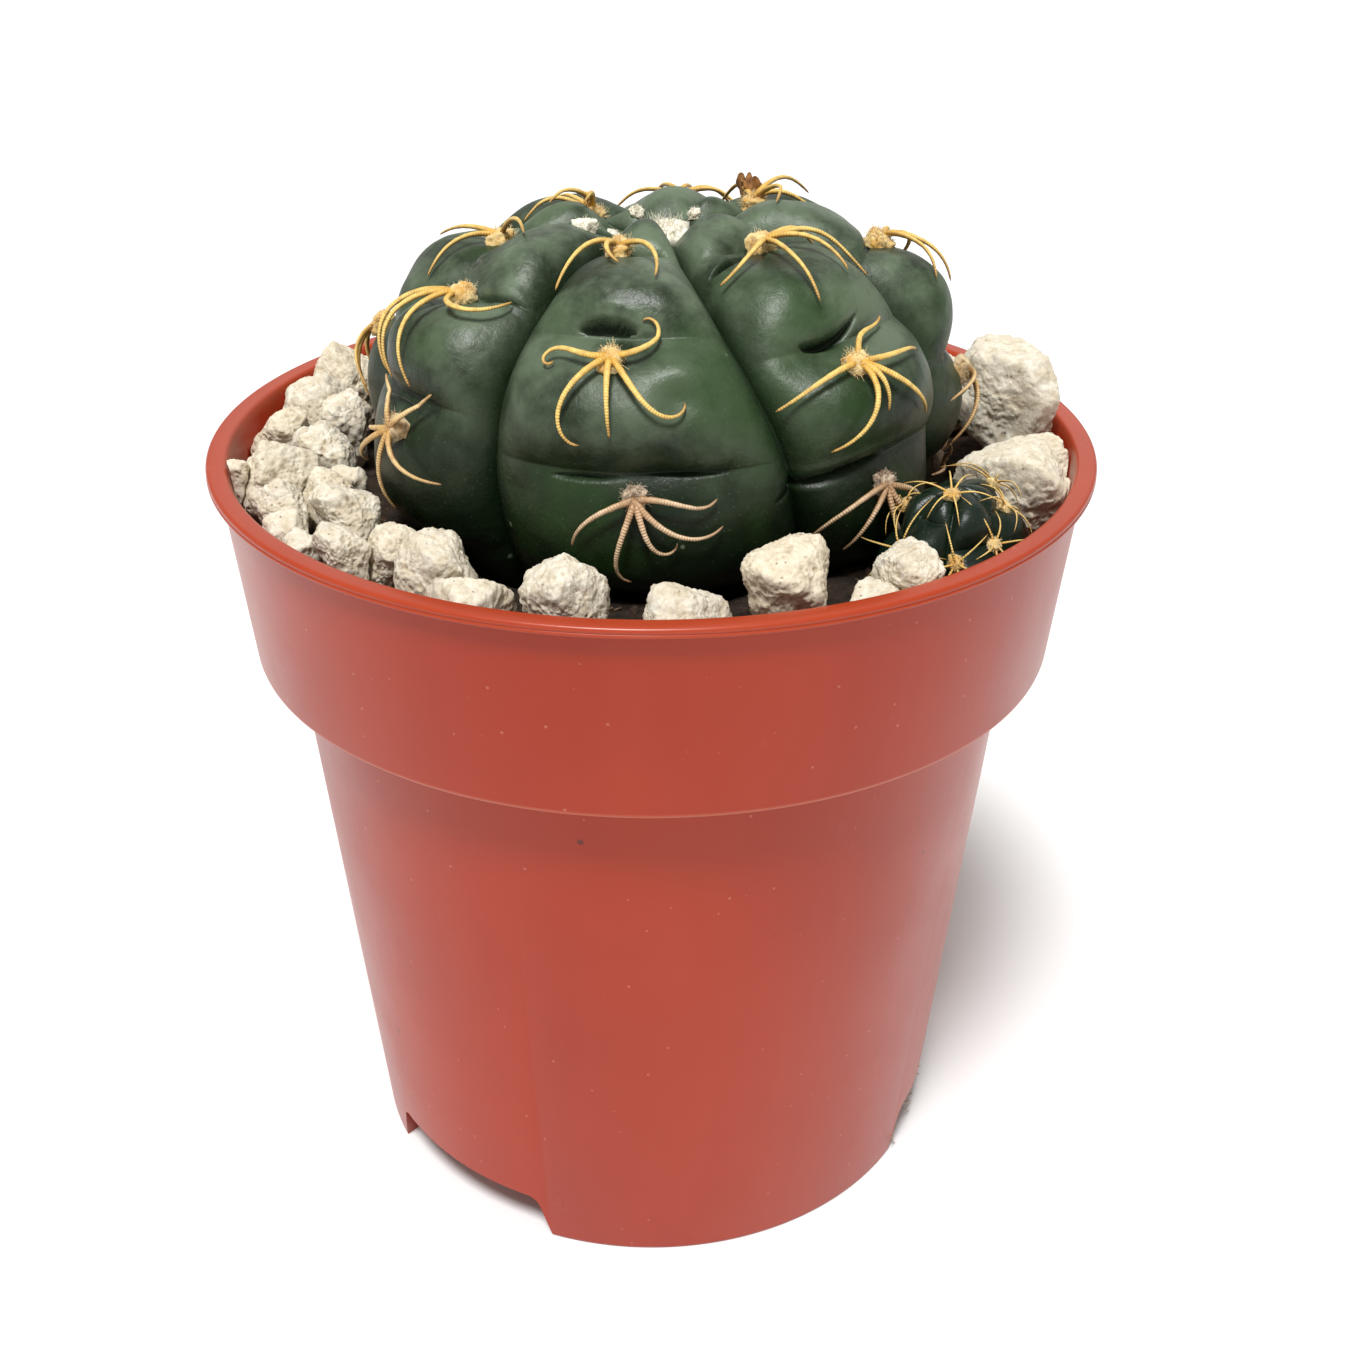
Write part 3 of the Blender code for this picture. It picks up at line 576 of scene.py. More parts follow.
def spine_material():
    """Golden where young and tan where old, browner at the tip, with painted shade darkening the flanks and
    underside, finely ringed.
    """
    shader = Shader("spine_horn", IOR=1.5)
    ring = shader.math("SINE", shader.math("MULTIPLY", shader.field("reach"), 24.0))
    grain = shader.noise(1800.0, 3.0)
    young = horn_tone(shader, 0.35, (0.66, 0.35, 0.035), (0.86, 0.60, 0.17), (0.36, 0.16, 0.035), 0.75)
    old = horn_tone(shader, 0.4, (0.40, 0.22, 0.10), (0.74, 0.54, 0.35), (0.20, 0.09, 0.04), 0.7)
    shader.tone = shader.mix(shader.field("old"), young, old)
    shader.paint(grain, 0.42, 0.7, (0.26, 0.12, 0.03), 0.4)
    shader.paint(ring, 0.2, 1.0, (0.20, 0.09, 0.02), 0.1)
    # Painted shade: the flanks and underside of each spine are painted darker brown.
    shader.paint(shader.field("top"), 0.55, -0.4, (0.22, 0.09, 0.015), 0.75)
    shader.bump(ring, 0.00004, 0.5)
    shader.bump(grain, 0.00005, 0.5)
    return shader.finish(shader.remap(grain, 0.3, 0.7, 0.38, 0.55))


def wool_material():
    """Felt: cream gold on young areoles, grey-brown and darker in the middle of old ones."""
    shader = Shader("areole_wool", Sheen_Weight=0.2, Sheen_Roughness=0.5)
    tuft = shader.noise(620.0, 4.0, 0.65)
    shader.base(tuft, 0.36, 0.6, (0.60, 0.33, 0.07), (0.80, 0.62, 0.29))
    shader.paint(shader.field("along"), 0.1, 0.9, (0.86, 0.72, 0.42), 0.6)
    old = shader.mix(shader.remap(tuft, 0.38, 0.62), (0.20, 0.11, 0.06), (0.66, 0.54, 0.40))
    shader.tone = shader.mix(shader.field("old"), shader.tone, old)
    return shader.finish(shader.remap(tuft, 0.0, 1.0, 0.85, 1.0))


def pumice_material():
    """Cream-white porous stone, stained here and there, with painted shade in its pores and hollows and dark
    specks.
    """
    shader = Shader("pumice", IOR=1.45, Specular_IOR_Level=0.25)
    grain = shader.noise(800.0, 6.0, 0.75)
    light = shader.remap(grain, 0.36, 0.64)
    white = shader.mix(light, (0.66, 0.57, 0.42), (0.90, 0.85, 0.73))
    cream = shader.mix(light, (0.68, 0.58, 0.42), (0.90, 0.81, 0.64))
    shader.tone = shader.mix(shader.field("tint"), white, cream)
    shader.paint(shader.noise(230.0, 3.0), 0.56, 0.75, (0.62, 0.49, 0.31), 0.45)
    # Painted shade: the pores and hollows are painted darker brown.
    shader.paint(shader.field("hollow"), 0.2, 0.95, (0.42, 0.32, 0.19), 0.6)
    shader.paint(shader.cells(900.0), 0.14, 0.06, (0.10, 0.07, 0.04), 0.65)
    shader.bump(shader.noise(1500.0, 6.0, 0.75), 0.0003, 0.9)
    return shader.finish(shader.remap(grain, 0.0, 1.0, 0.85, 1.0))


def earth(name, dark, light, rough):
    """Crumbly brown plant matter."""
    shader = Shader(name, IOR=1.4, Specular_IOR_Level=0.3)
    grain = shader.noise(700.0, 6.0, 0.7)
    shader.base(grain, 0.35, 0.68, dark, light)
    shader.paint(shader.noise(2600.0, 3.0), 0.62, 0.8, (0.16, 0.10, 0.06), 0.6)
    shader.bump(shader.noise(1500.0, 5.0, 0.7), 0.0002, 0.8)
    return shader.finish(shader.remap(grain, 0.0, 1.0, rough, 1.0))


def fibre_material(name, dark, light):
    shader = Shader(name, IOR=1.45)
    grain = shader.noise(1200.0, 4.0)
    shader.base(grain, 0.3, 0.7, dark, light)
    shader.bump(grain, 0.00005, 0.5)
    return shader.finish(shader.remap(grain, 0.0, 1.0, 0.7, 0.95))


def paper_white():
    shader = Shader("studio_floor")
    shade = shader.noise(8.0, 2.0)
    shader.base(shade, 0.3, 0.7, (0.80, 0.80, 0.80), (0.83, 0.83, 0.83))
    return shader.finish(shader.remap(shade, 0.0, 1.0, 0.85, 0.95))


# Cactus body


def profile_point(polar):
    """Radius and height, from the body's centre, of the crest line at polar angles."""
    angle = np.radians(np.clip(polar, 0.0, 180.0))
    radius = BODY_RADIUS * np.sin(angle) ** (2.0 / BODY_POWER)
    rise = np.abs(np.cos(angle)) ** (2.0 / BODY_POWER)
    dome = DOME_HEIGHT * rise - DIMPLE_DEPTH * np.exp(-((radius / DIMPLE_RADIUS) ** 2))
    return radius, np.where(polar > 90.0, -BOWL_DEPTH * rise, dome)


def profile_frame(polar):
    """The crest line's radius and height, its outward normal's two parts, and its arc per degree."""
    step = 0.5
    radius, height = profile_point(polar)
    before = profile_point(np.maximum(polar - step, 0.0))
    after = profile_point(np.minimum(polar + step, 180.0))
    along_radius = after[0] - before[0]
    along_height = after[1] - before[1]
    length = np.maximum(np.hypot(along_radius, along_height), 1e-6)
    return radius, height, -along_height / length, along_radius / length, length / (2.0 * step)


def tubercle_wave(along):
    """Rises from the fold above an areole to its chin, and drops to the next fold."""
    along = np.clip(along, 0.0, 1.0)
    return along * (1.0 - along) ** 0.8 / 0.29


def rib_edges(index, polar):
    """Azimuths of the grooves at the left and right of a rib, at polar angles."""
    ribs = list(RIBS.values())
    left = ribs[index][0] + ribs[index][1] * (polar - 90.0)
    following = ribs[(index + 1) % len(ribs)]
    right = following[0] + following[1] * (polar - 90.0)
    return left, left + (right - left) % 360.0


def rib_folds(index):
    """Polar angles that bound the tubercles of a rib."""
    _, _, young, areoles = list(RIBS.values())[index]
    folds = [max(young - 8.0, 1.0)]
    folds += [areole[1] - lead for areole, lead in zip(areoles, FOLD_LEADS)]
    return folds + [areoles[-1][1] + 30.0]


def rib_fields(azimuth, polar):
    """How far across its rib each place is, from -1 to 1, and how high its tubercle stands there."""
    across = np.full(azimuth.shape, -1.0)
    chin = np.zeros(azimuth.shape)
    for index in range(len(RIBS)):
        left, right = rib_edges(index, polar)
        into = (azimuth - left + 1e-7) % 360.0
        inside = into < right - left
        across[inside] = (2.0 * into / (right - left) - 1.0)[inside]
        folds = rib_folds(index)
        for before, after in zip(folds, folds[1:]):
            within = inside & (polar >= before) & (polar < after)
            chin[within] = tubercle_wave((polar[within] - before) / (after - before))
    return across, chin


def crease_depth(azimuth, polar):
    """How deep the folds of the skin cut: steeply below the upper edge, then rising to the lower one."""
    total = np.zeros(azimuth.shape)
    for middle, edge, half_width, tilt, curve, depth, reach, fullness in CREASES:
        aside = (azimuth - middle + 180.0) % 360.0 - 180.0
        share = aside / half_width
        line = edge + tilt * aside + curve * share**2
        below = (polar - line) * profile_frame(np.full(1, float(edge)))[4][0]
        extent = np.clip(1.0 - share**2, 0.0, 1.0) ** 0.6
        ramp = np.clip(1.0 - below / (reach * extent + 1e-3), 0.0, 1.0) ** fullness
        total += depth * extent * ramp * smooth_step(-0.16, 0.14, below)
        total -= 0.18 * np.minimum(depth, 1.4) * extent * np.exp(-(((below + 0.75) / 0.6) ** 2))
    return total


def bump_height(points):
    total = np.zeros(points.shape[:-1])
    for azimuth, polar, radius, height in BUMPS:
        middle = envelope_point(np.array([float(azimuth)]), np.array([float(polar)]), np.zeros(1))[0]
        total += height * np.exp(-(np.sum((points - middle) ** 2, axis=-1) / radius**2))
    return total


def skin_offset(azimuth, polar):
    """How far the skin stands out from the crest line, and the place across the rib."""
    azimuth = np.asarray(azimuth, dtype=float)
    polar = np.asarray(polar, dtype=float)
    radius = profile_frame(polar)[0]
    across, chin = rib_fields(azimuth, polar)
    fade = 1.0 - np.clip((polar - 115.0) / 35.0, 0.0, 1.0)
    depth = np.minimum(GROOVE_DEPTH, 0.36 * radius) * (0.3 + 0.7 * fade)
    pillow = (1.0 - np.minimum(np.abs(across), 1.0) ** 3.0) ** 0.58
    young = 1.0 + 0.8 * (1.0 - smooth_step(7.0, 12.0, radius))
    chin_scale = TUBERCLE_HEIGHT * np.minimum(1.0, radius / 5.0) * young * (1.0 - across**2) ** 1.5 * fade
    out = (chin - TUBERCLE_LEVEL) * chin_scale - depth * (1.0 - pillow)
    out += bump_height(envelope_point(azimuth, polar, np.zeros_like(radius))) * (1.0 - np.abs(across) ** 4)
    return out - crease_depth(azimuth, polar) * fade, across


def skin_point(azimuth, polar):
    """Points on the skin."""
    azimuth = np.atleast_1d(np.asarray(azimuth, dtype=float))
    polar = np.atleast_1d(np.asarray(polar, dtype=float))
    out, _ = skin_offset(azimuth, polar)
    return envelope_point(azimuth, polar, out)


def envelope_point(azimuth, polar, out):
    radius, height, normal_out, normal_up, _ = profile_frame(polar)
    radius = np.maximum(radius + out * normal_out, 0.0)
    level = outward(azimuth) * radius[..., None]
    level[..., 2] += height + out * normal_up
    return BODY_CENTRE + level


def envelope_normal(azimuth, polar):
    _, _, normal_out, normal_up, _ = profile_frame(np.atleast_1d(np.asarray(polar, dtype=float)))
    normal = outward(np.atleast_1d(np.asarray(azimuth, dtype=float))) * normal_out[..., None]
    normal[..., 2] += normal_up
    return normal


def make_body(material):
    columns = 84
    polar = np.concatenate([np.linspace(0.4, 118.0, 330), np.linspace(120.0, 176.0, 16)])
    share = np.arange(columns) / columns
    across = 0.5 * (2.0 * share - 1.0) - 0.5 * np.cos(np.pi * share)
    strips = []
    for index in range(len(RIBS)):
        left, right = rib_edges(index, polar[:, None])
        strips.append(left + 0.5 * (across[None, :] + 1.0) * (right - left))
    azimuth = np.concatenate(strips, axis=1)
    polar_grid = np.broadcast_to(polar[:, None], azimuth.shape)
    out, across = skin_offset(azimuth, polar_grid)
    points = envelope_point(azimuth, polar_grid, out)
    points = envelope_point(azimuth, polar_grid, out + relief(points, SKIN_RELIEF))
    # The crease depth feeds the painted shade in the skin's folds.
    fold = np.clip(crease_depth(azimuth, polar_grid), 0.0, 1.0)
    points, faces = closed_rings(points)
    fields = {
        "across": np.concatenate([np.abs(across).ravel(), [0.0, 0.0]]),
        "fold": np.concatenate([fold.ravel(), [0.0, 0.0]]),
    }
    body = mesh_object("cactus_skin", points, [face[::-1] for face in faces], material, fields)
    place(body, "cactus_skin", "cactus_body")


# Spines and wool


def spine_places(azimuth, polar, spine, count):
    """Azimuths and polar angles along a spine that turns as it goes over the skin."""
    direction, length, bend = spine[:3]
    curl = spine[3] if len(spine) > 3 else 0.0
    step = length / (count - 1)
    places = []
    for index in range(count):
        places.append((azimuth, polar))
        share = (index + 0.5) / (count - 1)
        heading = math.radians(direction + bend * share + curl * share**4)
        radius, _, _, _, arc = (float(value[0]) for value in profile_frame(np.array([polar])))
        polar += step * math.cos(heading) / arc
        azimuth += math.degrees(step * math.sin(heading) / max(radius, 2.0))
    return np.array(places)


def spine_path(azimuth, polar, spine, lift, arch, count=26):
    """The spine's middle line: it leaves the wool, arches over the skin and comes down to it."""
    slope = 0.35
    places = spine_places(azimuth, polar, spine, count)
    out, _ = skin_offset(places[:, 0], places[:, 1])
    gap = spine[1] / (count - 1) * slope
    steps = np.abs(np.arange(count)[:, None] - np.arange(count)[None, :])
    bridge = (out[None, :] - gap * steps).max(axis=1)
    share = np.linspace(0.0, 1.0, count)
    rise = lift * (1.0 - 0.45 * share) + arch * np.sin(math.pi * share**0.8)
    return envelope_point(places[:, 0], places[:, 1], bridge + rise)


def add_spine(bundle, path, base_radius, old, generator, upward=(0.0, 0.0, 1.0)):
    """A tapering awl-shaped spine, swollen at its foot."""
    count = len(path)
    share = np.linspace(0.0, 1.0, count)
    radii = base_radius * (1.0 - 0.66 * share**1.25) * (1.0 + 0.3 * np.exp(-((share / 0.07) ** 2)))
    radii[-1] *= 0.3
    radii = radii * (1.0 + 0.05 * np.sin(share * 46.0 + generator.uniform(0.0, 6.0)))
    length = np.linalg.norm(np.diff(path, axis=0), axis=1).sum()
    points, faces, along, top = tube(path, radii, 10, 0.88, upward)
    bundle.add(points, faces, along=along, top=top, old=old, reach=along * length)


def fibres(bundle, roots, directions, lengths, radius, generator, old):
    """Fine curly hairs, three-sided, from their roots along their directions."""
    curls = unit(generator.normal(size=(len(roots), 3)))
    share = np.linspace(0.0, 1.0, 5)
    for root, direction, length, curl in zip(roots, directions, lengths, curls):
        bend = curl * (share[:, None] ** 2) * 0.7
        path = root + length * (direction * share[:, None] + bend)
        points, faces, along, _ = tube(path, radius * (1.0 - 0.6 * share), 3)
        bundle.add(points, faces, along=along, old=old)


def wool_pad(bundle, foot, normal, down, size, old, generator, hairs):
    """A felted mound on the skin with loose hairs all over it."""
    side = np.cross(down, normal)
    directions, faces = icosphere(4)
    stretch = np.array([1.0, 1.1, 0.78]) * generator.uniform(0.9, 1.1, 3)
    blocky = np.sign(directions) * np.abs(directions) ** 0.8
    shape = blocky * stretch * size
    shape = shape[:, :1] * side + shape[:, 1:2] * down + shape[:, 2:] * normal
    lump = 1.0 + 0.3 * layered_noise(directions + foot, 0.9, 21, 4, 0.65)
    off_middle = directions[:, 0] ** 2 + directions[:, 1] ** 2
    crater = 1.0 - 0.55 * old * np.exp(-(off_middle / 0.09)) * (directions[:, 2] > 0)
    middle = foot + 0.3 * size * normal
    bundle.add(middle + shape * (lump * crater)[:, None], faces, along=0.0, old=old)
    spread = unit(generator.normal(size=(hairs, 3)))
    spread[:, 2] = np.abs(spread[:, 2])
    onto = spread * stretch * size * generator.uniform(0.75, 1.0, (hairs, 1))
    roots = middle + onto[:, :1] * side + onto[:, 1:2] * down + onto[:, 2:] * normal
    heading = spread[:, :1] * side + spread[:, 1:2] * down + (spread[:, 2:] + 0.3) * normal
    heading = unit(heading + 0.75 * generator.normal(size=(hairs, 3)))
    lengths = size * generator.uniform(0.15, 0.5, hairs)
    fibres(bundle, roots, heading, lengths, 0.03, generator, old)


def downhill(azimuth, polar):
    """The unit direction down the rib, along the crest line."""
    ahead = envelope_point(np.array([azimuth]), np.array([polar + 0.5]), np.zeros(1))[0]
    behind = envelope_point(np.array([azimuth]), np.array([polar - 0.5]), np.zeros(1))[0]
    return unit(ahead - behind)


def make_cluster(name, azimuth, polar, spines, old, size, materials):
    generator = np.random.default_rng(sum(map(ord, name)) * 7)
    foot = skin_point(azimuth, polar)[0]
    normal = envelope_normal(azimuth, polar)[0]
    wool = Bundle()
    wool_pad(wool, foot, normal, downhill(azimuth, polar), size, old, generator, 380)
    horn = Bundle()
    for spine in spines:
        path = spine_path(azimuth, polar, spine, 0.85, 0.55 + 0.4 * generator.random())
        path[0] = foot + 0.5 * normal
        path[1] = 0.5 * (path[1] + foot + 0.8 * normal)
        add_spine(horn, path, 0.31, old, generator, normal)
    place(horn.build(name, materials["spine"]), "spine", name)
    place(wool.build(name + "_wool", materials["wool"]), "wool")


def make_clusters(materials):
    """Areoles of every rib: the upper ones golden, the lowest grey-brown and worn."""
    for rib, (_, _, _, areoles) in RIBS.items():
        for row, (azimuth, polar, spines) in enumerate(areoles, 1):
            old = float(smooth_step(78.0, 90.0, polar))
            size = (1.22, 1.12, 1.05)[row - 1]
            make_cluster(f"spines_{rib}{row}", azimuth, polar, spines, old, size, materials)


def make_apex(materials):
    """Young woolly tufts round the dimple, and the white wool in it."""
    generator = np.random.default_rng(77)
    wool = Bundle()
    up = np.array([0.0, 0.0, 1.0])
    apex = skin_point(0.0, 0.5)[0]
    wool_pad(wool, apex, up, np.array([0.0, -1.0, 0.0]), 2.1, 0.0, generator, 420)
    place(wool.build("apex_wool_tuft", materials["apex"]), "wool", "apex_wool")
    tufts = Bundle()
    names = list(RIBS)
    for index, name in enumerate(names):
        left = RIBS[name][0]
        right = RIBS[names[(index + 1) % len(names)]][0]
        azimuth = left + 0.5 * ((right - left) % 360.0)
        polar, size = (RIBS[name][2], 0.85) if name == "b" else (6.5, 0.55)
        foot = skin_point(azimuth, polar)[0]
        normal = envelope_normal(azimuth, polar)[0]
        wool_pad(tufts, foot, normal, downhill(azimuth, polar), size, 0.0, generator, 220)
    place(tufts.build("young_areoles", materials["apex"]), "wool")


def make_dried_flower(materials):
    """A crumpled tube of shrivelled petals beside rib f's top areole."""
    foot = skin_point(*FLOWER_PLACE)[0]
    normal = unit(envelope_normal(*FLOWER_PLACE)[0] + np.array([0.0, 0.0, 0.6]))
    side = unit(np.cross(normal, (0.0, 1.0, 0.0)))
    across = np.cross(normal, side)
    columns, rows = 60, 26
    angle = 2.0 * np.pi * np.arange(columns) / columns
    grid = []
    for row in range(rows):
        share = row / (rows - 1)
        fold = 1.0 + 0.22 * np.sin(5.0 * angle + 3.0 * share) + 0.12 * np.sin(11.0 * angle - 5.0 * share)
        radius = (0.75 + 0.25 * math.sin(math.pi * share) + 0.2 * share) * fold
        lift = 1.9 * share + 0.35 * share * np.sin(3.0 * angle + 1.0) + 0.2 * share * np.sin(7.0 * angle)
        lean = 0.5 * share**2
        ring = np.outer(radius * np.cos(angle) + lean, side) + np.outer(radius * np.sin(angle), across)
        grid.append(foot + ring + np.outer(lift, normal))
    for row in range(8):
        share = (row + 1) / 8.0
        middle = grid[rows - 1].mean(axis=0)
        grid.append(grid[rows - 1] + (middle - 0.9 * normal * share - grid[rows - 1]) * share * 0.85)
    grid = np.array(grid)
    grid = grid + 0.12 * layered_noise(grid, 0.7, 9, 3)[..., None] * normal
    points, faces = closed_rings(grid)
    flower = mesh_object("shrivelled_flower", points, [face[::-1] for face in faces], materials["flower"])
    place(flower, "dried_flower", "dried_flower")


# Offset


def pup_place(directions, swell=0.0):
    """Points on the offset for unit directions, with its ribs and tubercles."""
    angle = np.arctan2(directions[..., 1], directions[..., 0])
    level = np.hypot(directions[..., 0], directions[..., 1])
    phase = 0.5 * PUP_RIBS * angle / np.pi
    across = 2.0 * np.abs(phase - np.round(phase))
    rib = np.floor(phase + 0.5)
    polar = np.degrees(np.arccos(np.clip(directions[..., 2], -1.0, 1.0)))
    wave = np.abs(np.sin(np.radians((polar + 22.0 * (rib % 2)) * 2.9)))
    pillow = (1.0 - across**2.4) ** 0.5
    size = 1.0 - 0.26 * level * (1.0 - pillow) + 0.32 * level * (wave**0.8 - 0.7) * (1.0 - across**2) + swell
    size += 0.05 * noise(directions, 1.7, 31)
    local = directions * size[..., None] * PUP_RADII
    centre = spot(PUP_AZIMUTH, PUP_CENTRE_DISTANCE, PUP_CENTRE_HEIGHT)
    return centre + turn_level(local, math.radians(PUP_AZIMUTH)), across


def pup_direction(azimuth, polar):
    """The unit direction, before the offset is turned, that faces an azimuth at a polar angle."""
    tilt = math.radians(polar)
    angle = math.radians(azimuth - PUP_AZIMUTH)
    return np.array([math.sin(tilt) * math.sin(angle), -math.sin(tilt) * math.cos(angle), math.cos(tilt)])


def make_pup(materials):
    polar = np.radians(np.linspace(1.0, 150.0, 150))[:, None]
    angle = np.linspace(-np.pi, np.pi, 280, endpoint=False)[None, :]
    level = np.sin(polar)
    parts = np.broadcast_arrays(level * np.cos(angle), level * np.sin(angle), np.cos(polar))
    directions = np.stack(parts, axis=-1)
    points, across = pup_place(directions)
    points = points + 0.06 * noise(points, 2.0, 8)[..., None] * directions
    points, faces = closed_rings(points)
    fields = {"across": np.concatenate([across.ravel(), [0.0, 0.0]])}
    pup = mesh_object("offset_skin", points, [face[::-1] for face in faces], materials["pup"], fields)
    place(pup, "cactus_skin", "offset_pup")
    for number, (azimuth, polar) in enumerate(PUP_AREOLES, 1):
        make_pup_cluster(number, azimuth, polar, materials)


def make_pup_cluster(number, azimuth, polar, materials):
    name = f"pup_spines_{number}"
    generator = np.random.default_rng(sum(map(ord, name)))
    direction = pup_direction(azimuth, polar)
    foot = pup_place(direction[None, :])[0][0]
    normal = unit(foot - pup_place(direction[None, :], -0.1)[0][0])
    side = unit(np.cross(normal, (0.0, 0.0, 1.0)))
    down = np.cross(normal, side)
    wool = Bundle()
    wool_pad(wool, foot, normal, down, 0.62, 0.05, generator, 140)
    horn = Bundle()
    for index in range(6):
        turn = math.radians(60.0 * index + generator.uniform(-18.0, 18.0))
        reach = generator.uniform(2.9, 5.4)
        share = np.linspace(0.0, 1.0, 12)
        heading = math.cos(turn) * side + math.sin(turn) * down
        arch = 0.7 * np.sin(math.pi * share * 0.9) + 0.3 - 0.9 * share**2
        path = foot + np.outer(reach * share, heading) + np.outer(arch, normal)
        add_spine(horn, path, 0.105, 0.1, generator, normal)
    place(horn.build(name, materials["spine"]), "spine", *[name][:number <= PUP_CAD_CLUSTERS])
    place(wool.build(name + "_wool", materials["wool"]), "wool")


# Pot


def inner_radius(height):
    """The radius of the pot's inner side at a height."""
    if height < COLLAR_BOTTOM + WALL:
        low, high = (BASE_RADIUS, 0.0), (WALL_TOP_RADIUS, COLLAR_BOTTOM)
    else:
        low, high = (COLLAR_BOTTOM_RADIUS, COLLAR_BOTTOM), (RIM_RADIUS - LIP_OVERHANG, POT_HEIGHT)
    return low[0] + (height - low[1]) / (high[1] - low[1]) * (high[0] - low[0]) - WALL


def arc_points(centre, radius, start, end, count):
    angles = np.radians(np.linspace(start, end, count))
    return [(centre[0] + radius * math.cos(a), centre[1] + radius * math.sin(a)) for a in angles]


def rounded(profile, radius, count=4):
    """The outline with each corner cut by a small round."""
    result = [profile[0]]
    for before, corner, after in zip(profile, profile[1:], profile[2:]):
        before, corner, after = map(np.array, (before, corner, after))
        back = before - corner
        ahead = after - corner
        cut = min(radius, 0.45 * np.linalg.norm(back), 0.45 * np.linalg.norm(ahead))
        start = corner + back / np.linalg.norm(back) * cut
        end = corner + ahead / np.linalg.norm(ahead) * cut
        for index in range(count):
            share = index / (count - 1)
            bend = (1 - share) ** 2 * start + 2 * share * (1 - share) * corner + share**2 * end
            result.append(tuple(bend))
    result.append(profile[-1])
    return result


def pot_profile():
    """From the floor's middle up the inner side, over the lip and down the outer side to the feet."""
    floor_top = FLOOR_UNDERSIDE + WALL
    ledge = COLLAR_BOTTOM + WALL
    lip_bottom = POT_HEIGHT - LIP_HEIGHT
    collar_top = RIM_RADIUS - LIP_OVERHANG
    inside = rounded([
        (0.0, floor_top), (inner_radius(floor_top), floor_top), (inner_radius(ledge - 1e-6), ledge),
        (inner_radius(ledge), ledge), (inner_radius(POT_HEIGHT - 0.6), POT_HEIGHT - 0.6),
    ], 0.7)
    bead = 0.36
    lip = arc_points((inner_radius(POT_HEIGHT) + 0.5, POT_HEIGHT - 0.45), 0.45, 165, 90, 5)
    lip += arc_points((RIM_RADIUS - bead - 0.02, POT_HEIGHT - bead), bead, 90, -50, 8)
    lip += arc_points((RIM_RADIUS - 0.21, lip_bottom + 0.2), 0.2, 60, -80, 6)
    outside = rounded([
        (RIM_RADIUS - 0.35, lip_bottom), (collar_top, lip_bottom - 0.1),
        (COLLAR_BOTTOM_RADIUS, COLLAR_BOTTOM), (WALL_TOP_RADIUS, COLLAR_BOTTOM),
        (BASE_RADIUS, 0.0), (BASE_RADIUS - FOOT_WIDTH, 0.0),
        (BASE_RADIUS - FOOT_WIDTH, FLOOR_UNDERSIDE), (0.0, FLOOR_UNDERSIDE),
    ], 0.35)
    return inside + lip + outside


def apply_modifiers(obj):
    graph = bpy.context.evaluated_depsgraph_get()
    mesh = bpy.data.meshes.new_from_object(obj.evaluated_get(graph))
    obj.modifiers.clear()
    obj.data = mesh


def notch_cutter(azimuth):
    """A block with rounded upper corners that opens one arch between two feet."""
    depth = 6.0
    below = 1.0
    width = 2.0 * BASE_RADIUS * math.sin(math.radians(NOTCH_SPAN / 2.0))
    bm = bmesh.new()
    bmesh.ops.create_cube(bm, size=1.0)
    for vert in bm.verts:
        is_top = vert.co.z > 0.0
        vert.co.x *= width * (NOTCH_TAPER if is_top else 1.0)
        vert.co.y *= depth
        vert.co.z = NOTCH_HEIGHT if is_top else -below
    upper = []
    for edge in bm.edges:
        first, second = (vert.co for vert in edge.verts)
        if min(first.z, second.z) > 0.0 and abs(first.x - second.x) < 1e-6:
            upper.append(edge)
    bmesh.ops.bevel(bm, geom=upper, offset=1.1, segments=6, profile=0.5, affect="EDGES")
    bmesh.ops.scale(bm, vec=(MM, MM, MM), verts=bm.verts)
    mesh = bpy.data.meshes.new("notch")
    bm.to_mesh(mesh)
    bm.free()
    cutter = bpy.data.objects.new("notch_cutter", mesh)
    cutter.location = spot(azimuth, BASE_RADIUS - WALL, 0.0) * MM
    cutter.rotation_euler.z = math.radians(azimuth)
    return cutter


def drain_cutter(index):
    bm = bmesh.new()
    bmesh.ops.create_cone(bm, cap_ends=True, segments=32, radius1=DRAIN_RADIUS * MM,
                          radius2=DRAIN_RADIUS * MM, depth=4.0 * WALL * MM)
    mesh = bpy.data.meshes.new("drain")
    bm.to_mesh(mesh)
    bm.free()
    cutter = bpy.data.objects.new("drain_cutter", mesh)
    cutter.location = spot(360.0 * index / DRAIN_COUNT, DRAIN_CIRCLE, FLOOR_UNDERSIDE) * MM
    return cutter


def make_pot(material):
    profile = pot_profile()
    azimuth = np.linspace(0.0, 360.0, 256, endpoint=False)
    rings = [spot(azimuth, radius, height) for radius, height in profile[1:-1]]
    points, faces = closed_rings(np.array(rings))
    pot = mesh_object("terracotta_pot", points, faces, material)
    cutters = [notch_cutter(azimuth) for azimuth in NOTCH_CENTRES]
    cutters += [drain_cutter(index) for index in range(DRAIN_COUNT)]
    for cutter in cutters:
        bpy.context.scene.collection.objects.link(cutter)
        modifier = pot.modifiers.new("cut", "BOOLEAN")
        modifier.operation = "DIFFERENCE"
        modifier.solver = "EXACT"
        modifier.object = cutter
    bpy.context.view_layer.update()
    apply_modifiers(pot)
    for cutter in cutters:
        bpy.data.objects.remove(cutter, do_unlink=True)
    pot.data.shade_smooth()
    pot.data.set_sharp_from_angle(angle=math.radians(35.0))
    place(pot, "pot_plastic", "pot")


# Soil


